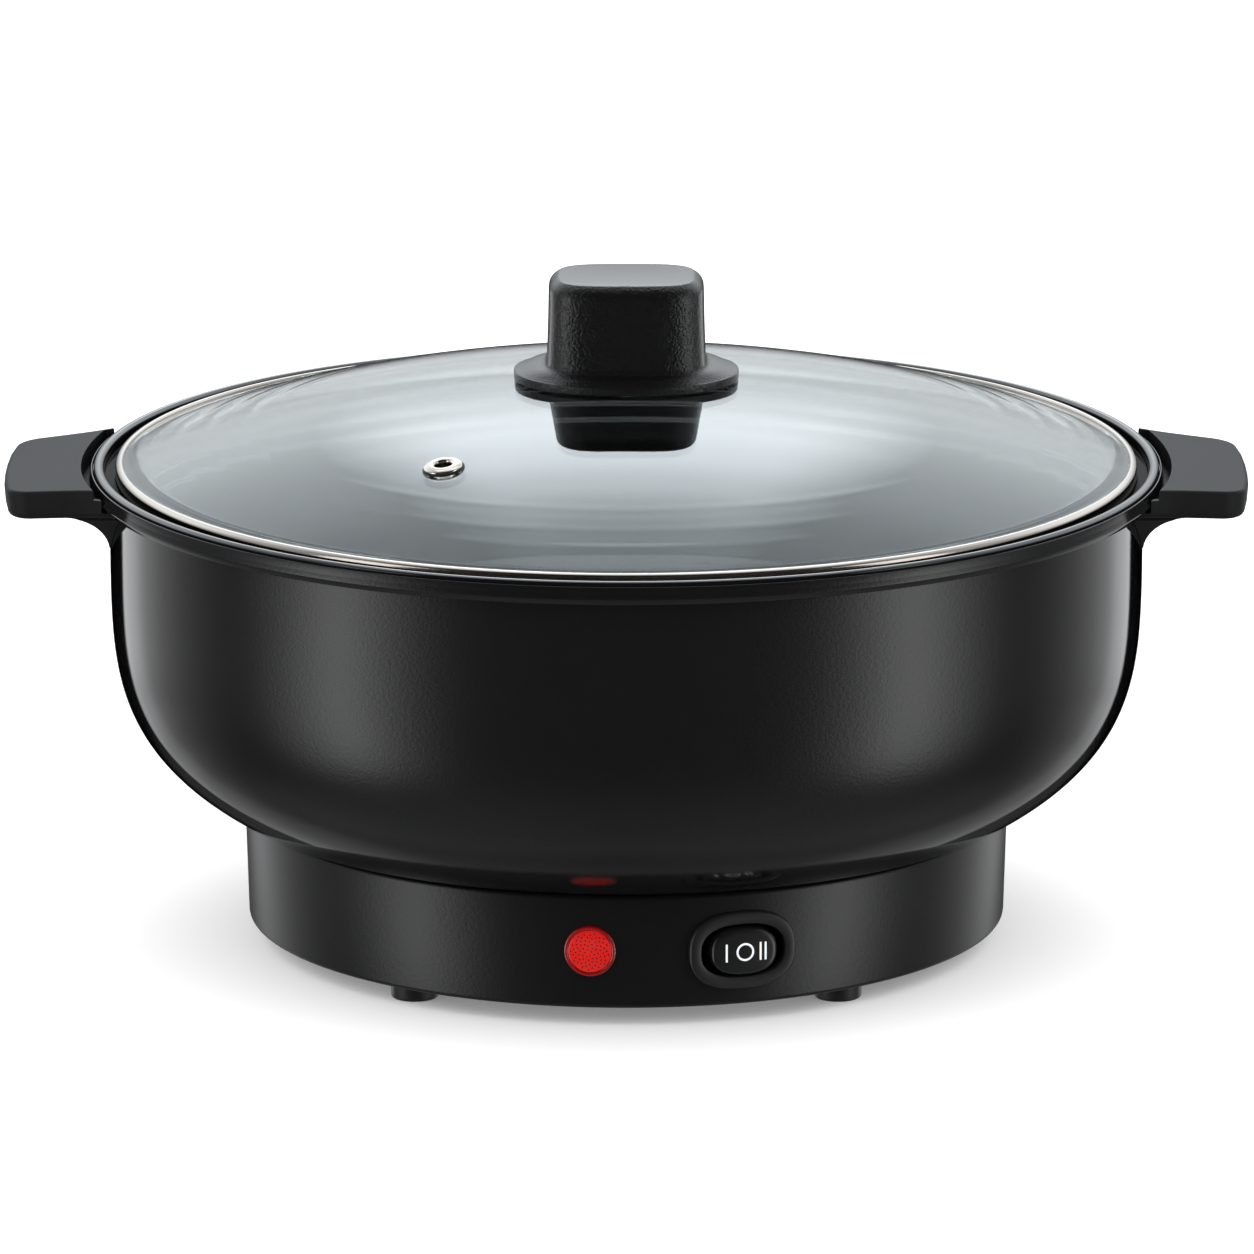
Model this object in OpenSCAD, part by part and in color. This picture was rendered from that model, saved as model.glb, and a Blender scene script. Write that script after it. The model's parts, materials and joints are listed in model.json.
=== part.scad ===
// Electric hot pot with a lift-off glass lid.
// Origin at the middle of the footprint on the table, +Z up, controls towards -Y.

/* [Pot and lid] */
// Radius of the rolled rim of the inner pot
rim_r = 156.4; // [154:0.1:158]
// Height of the rim above the table
rim_z = 142.5; // [141:0.1:144]
// Radius of the steel ring round the lid
lid_r = 150; // [148.5:0.1:151]
// Height of the glass crown above the rim
dome_rise = 25; // [22:0.1:28]
// Thickness of the glass
glass_t = 4; // [3.6:0.1:4.4]
// Place of the steam vent, sideways
vent_x = -52.4; // [-60:0.1:-45]
// Place of the steam vent, front to back
vent_y = -78.5; // [-85:0.5:-70]

/* [Knob] */
// Length of the oval brim
brim_l = 66; // [60:0.1:72]
// Depth of the oval brim
brim_d = 55.2; // [50:0.1:62]
// Width of the grip
grip_w = 45.8; // [40:0.1:50]
// Depth of the grip
grip_d = 38; // [34:0.1:42]
// Height of the grip above the brim's edge
grip_h = 28.3; // [22:0.1:32]

/* [Housing] */
// Radius of the bowl's wall under the collar
wall_r = 151.8; // [151:0.1:152.5]
// Thickness of the plastic walls
wall_t = 2.4; // [2:0.1:2.6]
// Height of the seam between bowl and base
seam_z = 39.6; // [38:0.1:41]
// Radius of the base at the seam
base_r = 112.7; // [111:0.1:114]
// How much the base narrows towards the table
base_draft = 1; // [0:0.1:1.5]

/* [Handles] */
// Distance between the outer ends of the handles
handle_span = 364.8; // [356:0.1:372]
// Thickness of the handle plates
handle_t = 8.5; // [8:0.1:10]
// Radius of the edge that follows the rim
handle_gap_r = 160.1; // [159.5:0.1:162]
// How much the plates slope down outwards, in degrees
handle_droop = 4.5; // [0:0.1:6]

/* [Controls] */
// Turn of the lamp from the front
lamp_turn = -5.3; // [-12:0.1:-4]
// Turn of the switch from the front
switch_turn = 17.2; // [16:0.1:30]
// Height of the lamp
lamp_z = 23.2; // [21:0.1:24]
// Height of the switch
switch_z = 22.4; // [21:0.1:23]
// Width of the switch frame
bezel_w = 32; // [31:0.1:34]
// Height of the switch frame
bezel_h = 23; // [22:0.1:24]

/* [Feet] */
// Radius of a foot
foot_r = 6.9; // [6:0.1:8]
// Gap between the base and the table
foot_gap = 5.8; // [5:0.1:7]
// Distance of a foot from the middle, sideways
foot_x = 61.3; // [58:0.1:64]
// Distance of a foot from the middle, front to back
foot_y = 77.3; // [73:0.1:79]

/* [Hidden] */
$fn = 120;

eps = 0.01;            // overshoot of a cut
snug = 0.05;           // gap between pieces that are fitted together
black = [0.07, 0.07, 0.075];
dark = [0.13, 0.13, 0.14];
steel = [0.75, 0.75, 0.76];
brass = [0.78, 0.62, 0.3];
white = [0.92, 0.92, 0.9];

// Bowl: upright at the top, drawn in more and more towards the seam
bowl_sweep = 68.4;
bowl_top_z = 129.2;
bowl_depth = 102;
bowl_power = 4.6;
seam_gap = 0.3;
bowl_z = seam_z + seam_gap;
shell_mouth_r = 79;
groove_r = 109.5;
groove_z = bowl_z + 0.9;
edge_in = 1.4;
collar_r = rim_r + 1.4;
collar_z = rim_z - 6.6;
collar_edge_z = collar_z + 1.5;
collar_strip_z = collar_edge_z + 1.2;
collar_strip_in = 0.35;
collar_lean = 0.6;
collar_top = rim_z - 1.3;
collar_t = 1.9;
collar_floor = 1.2;
collar_undercut = 1;
lip_round = 0.2;
rebate_r = rim_r + 0.4;
rebate_z = rim_z - 2.3;
boss_r = 3.6;
boss_z = bowl_z + 6.1;
pilot_l = 5;

// Inner pot
pot_t = 1.8;
pot_r = 143.6;
pot_z = 47.2;
pot_corner = 42;
rim_w = 3.2;
rim_t = 1.8;
rim_round = 1.6;
rim_edge = 1.4;
ledge_z = rim_z - 3.7;
ledge_t = 1.5;
steps = 3;
step_w = 1.5;
step_h = 5;
step_drop = 16;

// Lid ring and glass: the dome runs from the ring's mouth to the crown
ring_t = 0.55;
ring_h = 4.4;
ring_z = ledge_z;
ring_lip = 2.8;
ring_foot = 5;
ring_round = 0.8;
glass_r = lid_r - ring_t - 0.15;
edge_top = ring_z + ring_h - ring_t - 0.15;
crown_z = rim_z + dome_rise;
dome_a = lid_r - 3.4;
dome_h = crown_z - edge_top;
dome_r = (dome_a * dome_a + dome_h * dome_h) / (2 * dome_h);
dome_z = crown_z - dome_r;
vent_r = norm([vent_x, vent_y]);
vent_angle = atan2(vent_y, vent_x);
vent_bore = 2.45;
vent_tube_r = 3.3;
vent_seat = 0.65;
eyelet_r = 5.75;

// Knob and what clamps it
brim_z = crown_z + 0.7;
brim_t = 0.9;
brim_skirt = 2;
brim_gap = 0.3;
brim_slope = 2.2;
seat_in = 3;
seat_play = 0.2;
insert_r = 4.5;
insert_l = 14;
screw_m5 = 2.4;
knob_hole_r = 3.4;
washer_t = 1.4;
washer_z = crown_z - glass_t - 0.12 - washer_t;

// Base
skirt_bottom = foot_gap;
skirt_round = 1.4;
cover_z = foot_gap + 1;
cover_t = 2;
cover_top = cover_z + cover_t;
flange_in_r = 101;
foot_ring = norm([foot_x, foot_y]);
foot_recess_r = 4.2;
foot_recess_z = 3.2;
pillar_r = 5;
pillar_top = seam_z - wall_t - 1.2;
rib_t = 2.4;
rib_z = 12;
screw_r = 1.8;
cover_screw_l = 14;
shell_screw_r = 1.6;
shell_screw_ring = 105;
shield_screw_ring = 86;
wall_cut = 20;
vents = 20;
vent_slot_r = 58;
vent_slot_w = 3;
vent_slot_l = 24;

// Heater
plate_r = 75;
plate_z = pot_z - 8;
tube_r = 3.6;
tube_z = plate_z - 0.8;
tube_gap = 40;
high_r = 58;
low_r = 36;
element_end_r = 4.1;
element_top = tube_z + tube_r + 0.2;
pin_z = 20;
post_ring = 68;
shield_r = 77;
shield_t = 0.8;
shield_z = 27;
shield_flange_r = 92;
thermostat_r = 8.5;
thermostat_z = 29.6;
ear_x = 12.2;
ear_z = plate_z - snug - 1.2;
fuse_y = 24;
fuse_r = 1.9;
fuse_z = plate_z - 2.2;

// Lamp and switch, measured outwards from the base's wall
control_r = base_r - base_draft / 2;
lamp_r = 7.45;
lamp_l = 24;
lamp_hole_r = 5.8;
lens_r = 6.3;
lens_l = 8;
lens_seat = 0.35;
lens_dome = 1.3;
recess_w = 25;
recess_h = 15.4;
recess_depth = 10;
body_w = 27.4;
body_h = 19.2;
body_l = 24;
rocker_w = 18.9;
rocker_h = 13.7;
rocker_front = 3.2;
rocker_round = 1.6;
rocker_tail = 3.2;
pivot_depth = 4;
pivot_r = 1.4;
mark_w = 0.85;
mark_h = 5.3;
mark_t = 0.12;

// Handles
handle_end = handle_span / 2;
handle_corner = 9.6;
handle_corner_y = 27;
handle_top = rim_z - 1.7;
handle_bottom = handle_top - handle_t;
droop_x = 171;
web_z = collar_z - 0.3;
bracket_root = 140;
bracket_x = 162.5;
bracket_out = bracket_x - wall_r + 0.4;
bracket_tip = 119.3;
bracket_rise = handle_bottom + 0.7 - bracket_tip;
bracket_tip_w = 30;
bracket_top_w = 74;
cheek_x = 146;
cheek_y = 39.5;
cheek_l = 14;
cheek_w = 10;
cheek_h = 3.7;
handle_screw_z = handle_bottom + 0.9;
handle_screw_turn = 5.7;
handle_screw_l = 7;

// Supply cord outlet and inner wiring
gland_z = 21;
gland_bore = 3.6;
gland_thread_r = 7.6;
gland_out = 12;
gland_in = 14;
block_w = 32;
block_y = 54;
wire_r = 1.3;
sleeve_r = 1.6;
wire_ring = 84;
wire_z = 12;

function arc(cx, cy, r, from, to, n) =
    [for (i = [0:n]) let (a = from + (to - from) * i / n) [cx + r * cos(a), cy + r * sin(a)]];

// Oval between an ellipse (power 2) and a rectangle (higher powers)
function oval(w, h, power = 2.5, n = 48) =
    [for (i = [0:n - 1]) let (a = 360 * (i + 0.5) / n, c = cos(a), s = sin(a))
        [sign(c) * w / 2 * pow(abs(c), 2 / power), sign(s) * h / 2 * pow(abs(s), 2 / power)]];

// Radius of the bowl at a height, for a skin lying `inset` inside the outer one
function bowl_r(z, inset = 0) =
    wall_r - inset
        - bowl_sweep * pow(max(0, bowl_top_z + 0.6 * inset - z) / bowl_depth, bowl_power);

function reversed(list) = [for (i = [len(list) - 1:-1:0]) list[i]];

function bowl_curve(z0, z1, inset, n) =
    [for (i = [0:n]) let (z = z0 + (z1 - z0) * pow(i / n, 1.8)) [bowl_r(z, inset), z]];

// Places things on the base's wall: +Z points out of the wall, +Y up
module on_skirt(turn, z) {
    rotate([0, 0, turn]) translate([0, -control_r, z]) rotate([90, 0, 0]) children();
}

// Places things on the glass: +Z points out of the dome
module on_dome(r, angle) {
    translate([0, 0, dome_z]) rotate([0, asin(r / dome_r), angle]) translate([0, 0, dome_r])
        children();
}

module around(n, r, start = 0) {
    for (i = [0:n - 1]) rotate([0, 0, start + 360 * i / n]) translate([r, 0, 0]) children();
}

module at_feet() {
    for (x = [-foot_x, foot_x]) for (y = [-foot_y, foot_y]) translate([x, y, 0]) children();
}

module tube(r_out, r_in, h) {
    difference() {
        cylinder(r = r_out, h = h);
        translate([0, 0, -eps]) cylinder(r = r_in, h = h + 2 * eps);
    }
}

// Screw with its seat at z = 0, the head below it and the shank above it
module pan_screw(r, length, head_r, head_h) {
    translate([0, 0, -head_h]) {
        cylinder(r = r, h = head_h + length);
        cylinder(r = head_r, h = head_h);
    }
}

// Solid inside the base's outer face, grown by `gap`
module skirt_cone(gap) {
    translate([0, 0, skirt_bottom])
        cylinder(r1 = base_r - base_draft + gap, r2 = base_r + gap, h = seam_z - skirt_bottom,
            $fn = 720);
}

module outer_shell() {
    shelf_z = collar_z + collar_floor;
    inside_r = collar_r - collar_t;
    color(black) difference() {
        union() {
            rotate_extrude() polygon(concat(
                [[shell_mouth_r, bowl_z], [groove_r, bowl_z], [groove_r, groove_z]],
                [[bowl_r(groove_z) - edge_in, groove_z]],
                bowl_curve(groove_z + edge_in / 2, collar_z, 0, 22),
                [[collar_r - collar_undercut, collar_z], [collar_r, collar_edge_z]],
                [[collar_r - collar_strip_in, collar_strip_z]],
                [[collar_r - collar_lean, collar_top - lip_round]],
                [[collar_r - collar_lean - lip_round, collar_top], [rebate_r, collar_top]],
                [[rebate_r, rebate_z], [inside_r, rebate_z], [inside_r, shelf_z]],
                reversed(bowl_curve(bowl_z + wall_t, shelf_z, wall_t, 16)),
                [[shell_mouth_r, bowl_z + wall_t]]
            ));
            around(6, shell_screw_ring, 30) shell_boss();
            around(4, shield_screw_ring, 45) shell_boss();
        }
        around(6, shell_screw_ring, 30) shell_pilot();
        around(4, shield_screw_ring, 45) shell_pilot();
        at_handle_screws() handle_screw_shape(snug);
    }
}

module shell_boss() {
    translate([0, 0, bowl_z + 1]) cylinder(r = boss_r, h = boss_z - bowl_z - 1);
}

module shell_pilot() {
    translate([0, 0, bowl_z - eps]) cylinder(r = shell_screw_r + snug, h = pilot_l);
}

module base_skirt() {
    low_r = base_r - base_draft;
    floor_z = seam_z - wall_t;
    color(black) difference() {
        union() {
            rotate_extrude() polygon(concat(
                [[low_r - wall_t, skirt_bottom]],
                arc(low_r - skirt_round, skirt_bottom + skirt_round, skirt_round, -90, 0, 5),
                arc(base_r - skirt_round, seam_z - skirt_round, skirt_round, 0, 90, 5),
                [[flange_in_r, seam_z], [flange_in_r, floor_z], [base_r - wall_t, floor_z]]
            ));
            at_feet() translate([0, 0, cover_top])
                cylinder(r = pillar_r, h = pillar_top - cover_top);
            for (x = [-foot_x, foot_x]) for (y = [-foot_y, foot_y])
                rotate([0, 0, atan2(y, x)]) translate([foot_ring, -rib_t / 2, rib_z])
                    cube([low_r - foot_ring - 0.5, rib_t, floor_z + 0.5 - rib_z]);
        }
        at_feet() translate([0, 0, cover_top - eps]) cylinder(r = screw_r + snug, h = cover_screw_l);
        around(6, shell_screw_ring, 30) translate([0, 0, floor_z - 1])
            cylinder(r = shell_screw_r + 0.3, h = wall_t + 2);
        on_skirt(lamp_turn, lamp_z) translate([0, 0, -wall_cut / 2])
            cylinder(r = lamp_hole_r, h = wall_cut);
        on_skirt(switch_turn, switch_z) translate([0, 0, -wall_cut / 2])
            linear_extrude(wall_cut) polygon(oval(body_w + 0.4, body_h + 0.4));
        on_skirt(180, gland_z) translate([0, 0, -wall_cut / 2])
            cylinder(r = gland_thread_r + 0.2, h = wall_cut);
    }
}

module bottom_cover() {
    cover_r = base_r - base_draft - wall_t - 0.5;
    color(dark) difference() {
        translate([0, 0, cover_z]) cylinder(r = cover_r, h = cover_t);
        at_feet() translate([0, 0, cover_z - eps])
            cylinder(r = screw_r + 0.3, h = cover_t + 2 * eps);
        around(vents, vent_slot_r) translate([0, -vent_slot_w / 2, cover_z - eps])
            cube([vent_slot_l, vent_slot_w, cover_t + 2 * eps]);
    }
}

module foot(x, y) {
    color(black) translate([x, y, 0]) difference() {
        rotate_extrude() polygon(concat(
            [[0, 0]], arc(foot_r - 1, 1, 1, -90, 0, 4), [[foot_r, cover_z], [0, cover_z]]
        ));
        translate([0, 0, -eps]) cylinder(r = foot_recess_r, h = foot_recess_z + eps);
        cylinder(r = screw_r + 0.3, h = cover_z + eps);
    }
}

module foot_front_left() { foot(-foot_x, -foot_y); }
module foot_front_right() { foot(foot_x, -foot_y); }
module foot_rear_left() { foot(-foot_x, foot_y); }
module foot_rear_right() { foot(foot_x, foot_y); }

module cover_screws() {
    length = cover_top - foot_recess_z + cover_screw_l - 1;
    color(steel) at_feet() translate([0, 0, foot_recess_z]) pan_screw(screw_r, length, 3.4, 2.2);
}

module shell_screws() {
    color(steel) around(6, shell_screw_ring, 30) translate([0, 0, seam_z - wall_t])
        pan_screw(shell_screw_r, wall_t + seam_gap + pilot_l - 0.8, 3.2, 2.2);
}

module inner_pot() {
    inside = pot_r - pot_t;
    ledge_low = ledge_z - ledge_t;
    wall_top = pot_r + steps * step_w;
    rim_in = rim_r - rim_w;
    step_zs = [for (k = [0:steps - 1]) ledge_z - step_drop + k * step_h];
    color(black) rotate_extrude() polygon(concat(
        [[0, pot_z + pot_t]],
        arc(pot_r - pot_corner, pot_z + pot_corner, pot_corner - pot_t, -90, 0, 14),
        [for (k = [0:steps - 1]) each [
            [inside + k * step_w, step_zs[k]],
            [inside + (k + 1) * step_w, step_zs[k] + step_w / 2]
        ]],
        [[wall_top - pot_t, ledge_z - 0.6], [wall_top - pot_t + 0.6, ledge_z], [rim_in, ledge_z]],
        arc(rim_in + rim_round, rim_z - rim_round, rim_round, 180, 90, 5),
        arc(rim_r - rim_edge, rim_z - rim_edge, rim_edge, 90, 0, 5),
        [[rim_r, rim_z - rim_t], [rim_in + ledge_t, rim_z - rim_t], [rim_in + ledge_t, ledge_low]],
        [[wall_top, ledge_low]],
        [for (k = [steps - 1:-1:0]) each [
            [pot_r + (k + 1) * step_w, step_zs[k] - 0.2],
            [pot_r + k * step_w, step_zs[k] - 0.2 - step_w / 2]
        ]],
        arc(pot_r - pot_corner, pot_z + pot_corner, pot_corner, 0, -90, 14),
        [[0, pot_z]]
    ));
}

module lid_glass() {
    edge_low = ring_z + ring_t + 0.1;
    inner_r = dome_r - glass_t;
    inner_a = sqrt(inner_r * inner_r - pow(edge_low - dome_z, 2));
    color([0.75, 0.85, 0.88, 0.35]) difference() {
        rotate_extrude() polygon(concat(
            [[inner_a, edge_low], [glass_r, edge_low], [glass_r, edge_top], [dome_a + 0.6, edge_top]],
            arc(0, dome_z, dome_r, acos(dome_a / dome_r), 90, 20),
            arc(0, dome_z, inner_r, 90, acos(inner_a / inner_r), 20)
        ));
        translate([0, 0, crown_z - 2 * glass_t]) cylinder(r = knob_hole_r, h = 3 * glass_t);
        on_dome(vent_r, vent_angle) translate([0, 0, -2 * glass_t])
            cylinder(r = vent_tube_r + 0.2, h = 3 * glass_t);
    }
}

module lid_ring() {
    top_z = ring_z + ring_h;
    color(steel) rotate_extrude() polygon(concat(
        [[lid_r - ring_foot, ring_z], [lid_r - ring_t, ring_z], [lid_r, ring_z + ring_t]],
        arc(lid_r - ring_round, top_z - ring_round, ring_round, 0, 90, 5),
        [[lid_r - ring_lip, top_z], [lid_r - ring_lip, top_z - ring_t]],
        [[lid_r - ring_t, top_z - ring_t], [lid_r - ring_t, ring_z + ring_t]],
        [[lid_r - ring_foot, ring_z + ring_t]]
    ));
}

module vent_eyelet() {
    low = -glass_t - 0.25;
    color(steel) on_dome(vent_r, vent_angle) rotate_extrude() polygon([
        [vent_bore, low - 0.6], [5, low - 0.6], [5, low], [vent_tube_r, low],
        [vent_tube_r, vent_seat], [eyelet_r, vent_seat], [eyelet_r, vent_seat + 0.4],
        [eyelet_r - 0.5, vent_seat + 0.85], [eyelet_r - 1.4, vent_seat + 1.1],
        [vent_bore + 0.8, vent_seat + 1.1], [vent_bore, vent_seat + 0.6]
    ]);
}

module vent_washer() {
    color(dark) on_dome(vent_r, vent_angle) translate([0, 0, 0.04])
        tube(eyelet_r + 0.35, vent_tube_r + 0.1, vent_seat - 0.05);
}

// Everything under the glass's top face, as far as the knob reaches
module dome_cut(gap) {
    reach = brim_l / 2 + 1;
    rotate_extrude() polygon(concat(
        [[0, crown_z - 9], [reach, crown_z - 9]],
        arc(0, dome_z, dome_r + gap, acos(reach / dome_r), 90, 8)
    ));
}

module knob_seat() {
    low = crown_z - 2;
    color(dark) difference() {
        translate([0, 0, low]) linear_extrude(brim_z - low)
            polygon(oval(brim_l - 2 * seat_in, brim_d - 2 * seat_in, 2.1));
        dome_cut(0.02);
        translate([0, 0, low - 1]) cylinder(r = screw_m5 + 0.3, h = brim_z - low + 2);
    }
}

// Thin slab of the grip: its height above the brim and how far its edge is drawn in
module grip_slab(z, inset) {
    translate([0, 0, brim_z + brim_t + z]) linear_extrude(0.05)
        polygon(oval(grip_w - 2 * inset, grip_d - 2 * inset, 3.6, 40));
}

// The brim's edge follows the dome, and the seat lies in a pocket under the brim
module knob_grip() {
    skirt_z = brim_z - brim_skirt;
    pocket = 2 * (seat_in - seat_play);
    color(black) difference() {
        union() {
            translate([0, 0, skirt_z]) linear_extrude(brim_skirt + brim_t)
                polygon(oval(brim_l, brim_d, 2.1));
            hull() {
                translate([0, 0, brim_z]) linear_extrude(brim_t) polygon(oval(brim_l, brim_d, 2.1));
                grip_slab(brim_slope - 0.05, -1);
            }
            hull() {
                grip_slab(0, -0.4);
                grip_slab(grip_h - 2.8, 0.2);
                grip_slab(grip_h - 1.2, 0.8);
                grip_slab(grip_h - 0.45, 1.8);
                grip_slab(grip_h - 0.15, 3.2);
                grip_slab(grip_h - 0.05, 6);
            }
        }
        translate([0, 0, skirt_z - 1]) linear_extrude(brim_skirt + 1)
            polygon(oval(brim_l - pocket, brim_d - pocket, 2.1));
        dome_cut(brim_gap);
        translate([0, 0, brim_z - eps]) cylinder(r = insert_r, h = insert_l + 2);
    }
}

module knob_insert() {
    color(brass) translate([0, 0, brim_z]) tube(insert_r - 0.02, screw_m5 + snug, insert_l);
}

module knob_washer() {
    color(dark) translate([0, 0, washer_z]) tube(9, screw_m5 + 0.2, washer_t);
}

module knob_screw() {
    color(steel) translate([0, 0, washer_z])
        pan_screw(screw_m5, brim_z - washer_z + insert_l - 1, 4.6, 2.6);
}

module at_handle_screws() {
    for (side = [0, 180]) for (turn = [-handle_screw_turn, handle_screw_turn])
        rotate([0, 0, side + turn]) translate([wall_r - wall_t, 0, handle_screw_z])
            rotate([0, 90, 0]) children();
}

// Countersunk screw pointing outwards, its head flush with the bowl's inner face
module handle_screw_shape(gap) {
    translate([0, 0, -gap]) cylinder(r1 = 2.9 + gap, r2 = screw_r + gap, h = 1.4);
    cylinder(r = screw_r + gap, h = handle_screw_l);
}

module handle_screws() {
    color(steel) at_handle_screws() handle_screw_shape(0);
}

// Outline of a handle plate, with its edge drawn in by `inset`
function handle_side(inset) = concat(
    [[147, 43.8 - inset], [151, 43 - inset], [155.5, 41.1 - inset], [160.5, 39.3 - inset]],
    [[167, 38 - inset]],
    arc(handle_end - 1 - handle_corner, handle_corner_y, handle_corner - inset, 76, 10, 8),
    [[handle_end - 0.4 - inset, 18], [handle_end - inset, 6]]
);

module handle_outline(inset) {
    half = handle_side(inset);
    polygon(concat(half, [for (p = reversed(half)) [p[0], -p[1]]]));
}

module handle_slab(z, inset) {
    translate([0, 0, handle_bottom + z]) linear_extrude(0.05) handle_outline(inset);
}

module handle_plate() {
    translate([droop_x, 0, handle_top]) rotate([0, handle_droop, 0])
        translate([-droop_x, 0, -handle_top]) intersection() {
            translate([0, 0, handle_bottom]) linear_extrude(handle_t) handle_outline(0);
            hull() {
                handle_slab(0, 2.6);
                handle_slab(1, 0.9);
                handle_slab(3, 0);
                handle_slab(handle_t - 1.3, 0);
                handle_slab(handle_t - 0.4, 0.4);
                handle_slab(handle_t - 0.05, 1.3);
            }
        }
}

// Bracket below the plate: one round sweep out of the wall, wider at the top than at its tip
module bracket() {
    intersection() {
        rotate([90, 0, 0]) linear_extrude(bracket_top_w + 1, center = true) polygon(concat(
            [[bracket_root, bracket_tip]],
            [for (a = [0:11.25:90])
                [bracket_x - bracket_out * cos(a), bracket_tip + bracket_rise * sin(a)]],
            [[bracket_x, web_z], [bracket_root, web_z]]
        ));
        translate([bracket_root, 0, 0]) rotate([90, 0, 90])
            linear_extrude(bracket_x + 1 - bracket_root) polygon([
                [-bracket_tip_w / 2, bracket_tip - 1], [bracket_tip_w / 2, bracket_tip - 1],
                [bracket_top_w / 2, handle_bottom], [bracket_top_w / 2, web_z + 1],
                [-bracket_top_w / 2, web_z + 1], [-bracket_top_w / 2, handle_bottom]
            ]);
    }
}

module handle() {
    color(black) difference() {
        union() {
            handle_plate();
            bracket();
        }
        cylinder(r = wall_r + 0.1, h = rim_z + 1);
        difference() {
            translate([0, 0, web_z]) cylinder(r = handle_gap_r, h = handle_t);
            cheeks();
        }
        translate([0, 0, web_z]) cylinder(r = collar_r + 0.3, h = handle_t);
        at_handle_screws() cylinder(r = screw_r + snug, h = handle_screw_l + 0.5);
    }
}

// Walls that close the ends of the gap between the collar and the plate: low at the front, while
// at the back the plate itself runs on to the collar
module cheeks() {
    translate([cheek_x, -cheek_y - cheek_w, web_z - 1]) cube([cheek_l, cheek_w, cheek_h + 1]);
    translate([cheek_x, cheek_y, web_z - 1]) cube([cheek_l, cheek_w, handle_t + 2]);
}

module handle_right() { handle(); }
module handle_left() { mirror([1, 0, 0]) handle(); }

module lamp_bezel() {
    color([0.45, 0.02, 0.02]) difference() {
        on_skirt(lamp_turn, lamp_z) rotate_extrude() polygon([
            [lens_r + snug, -1], [lamp_r, -1], [lamp_r, 0.7], [lamp_r - 0.3, 1.1],
            [lens_r + 0.4, 1.1], [lens_r + snug, 0.8]
        ]);
        skirt_cone(0.02);
    }
}

module lamp_lens() {
    cap_r = (lens_r * lens_r + lens_dome * lens_dome) / (2 * lens_dome);
    cap_z = lens_seat + 0.55 + lens_dome - cap_r;
    color([0.85, 0.03, 0.02]) on_skirt(lamp_turn, lamp_z) rotate_extrude() polygon(concat(
        [[0, -lens_l], [lamp_hole_r - 0.2, -lens_l], [lamp_hole_r - 0.2, lens_seat]],
        [[lens_r, lens_seat]],
        arc(0, cap_z, cap_r, acos(lens_r / cap_r), 90, 8)
    ));
}

module lamp_body() {
    color(white) on_skirt(lamp_turn, lamp_z) {
        translate([0, 0, -lamp_l]) cylinder(r = 4.8, h = lamp_l - lens_l - snug);
        for (x = [-2.4, 2.4]) translate([x - 0.4, -1.4, -lamp_l - 5]) cube([0.8, 2.8, 5.5]);
    }
}

module lamp_clip() {
    color(steel) on_skirt(lamp_turn, lamp_z) translate([0, 0, -4])
        tube(8.3, lamp_hole_r - 0.1, 0.8);
}

module bezel_slab(z, inset) {
    translate([0, 0, z]) linear_extrude(0.05)
        polygon(oval(bezel_w - 2 * inset, bezel_h - 2 * inset));
}

module switch_bezel() {
    color(black) difference() {
        on_skirt(switch_turn, switch_z) difference() {
            hull() {
                bezel_slab(-2.4, 0);
                bezel_slab(0.8, 0);
                bezel_slab(1.3, 0.35);
                bezel_slab(1.55, 1);
            }
            translate([0, 0, -5]) linear_extrude(10) polygon(oval(recess_w, recess_h));
        }
        skirt_cone(0.02);
    }
}

module switch_body() {
    color(dark) intersection() {
        on_skirt(switch_turn, switch_z) difference() {
            translate([0, 0, -body_l]) linear_extrude(body_l + 2) polygon(oval(body_w, body_h));
            translate([0, 0, -recess_depth]) linear_extrude(recess_depth + 3)
                polygon(oval(recess_w, recess_h));
            translate([0, 0, -pivot_depth]) rotate([90, 0, 0])
                cylinder(r = pivot_r + snug, h = body_h + 2, center = true);
        }
        skirt_cone(-0.03);
    }
}

module rocker_slab(z, inset) {
    translate([0, 0, z]) linear_extrude(0.05)
        polygon(oval(rocker_w - 2 * inset, rocker_h - 2 * inset, 2.5, 40));
}

// Straight body with a rounded front edge, on two pins
module switch_rocker() {
    low = -pivot_depth - rocker_tail;
    edge = rocker_front - rocker_round;
    color(black) on_skirt(switch_turn, switch_z) union() {
        translate([0, 0, low]) linear_extrude(edge - low)
            polygon(oval(rocker_w, rocker_h, 2.5, 40));
        hull() {
            rocker_slab(edge - 0.05, 0);
            rocker_slab(rocker_front - 0.5, 0.5);
            rocker_slab(rocker_front - 0.05, 1.5);
        }
        translate([0, 0, -pivot_depth]) rotate([90, 0, 0])
            cylinder(r = pivot_r, h = body_h - 0.8, center = true);
    }
}

// Generic marks: one bar, off ring, two bars
module rocker_marks() {
    color(white) on_skirt(switch_turn, switch_z) translate([0, 0, rocker_front]) {
        for (x = [-5.6, 4.6, 6.1]) translate([x - mark_w / 2, -mark_h / 2, 0])
            cube([mark_w, mark_h, mark_t]);
        tube(mark_h / 2, mark_h / 2 - mark_w, mark_t);
    }
}

module switch_terminals() {
    color(brass) on_skirt(switch_turn, switch_z) for (x = [-8, 0, 8])
        translate([x - 0.4, -2.4, -body_l - 6]) cube([0.8, 4.8, 6]);
}

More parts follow.
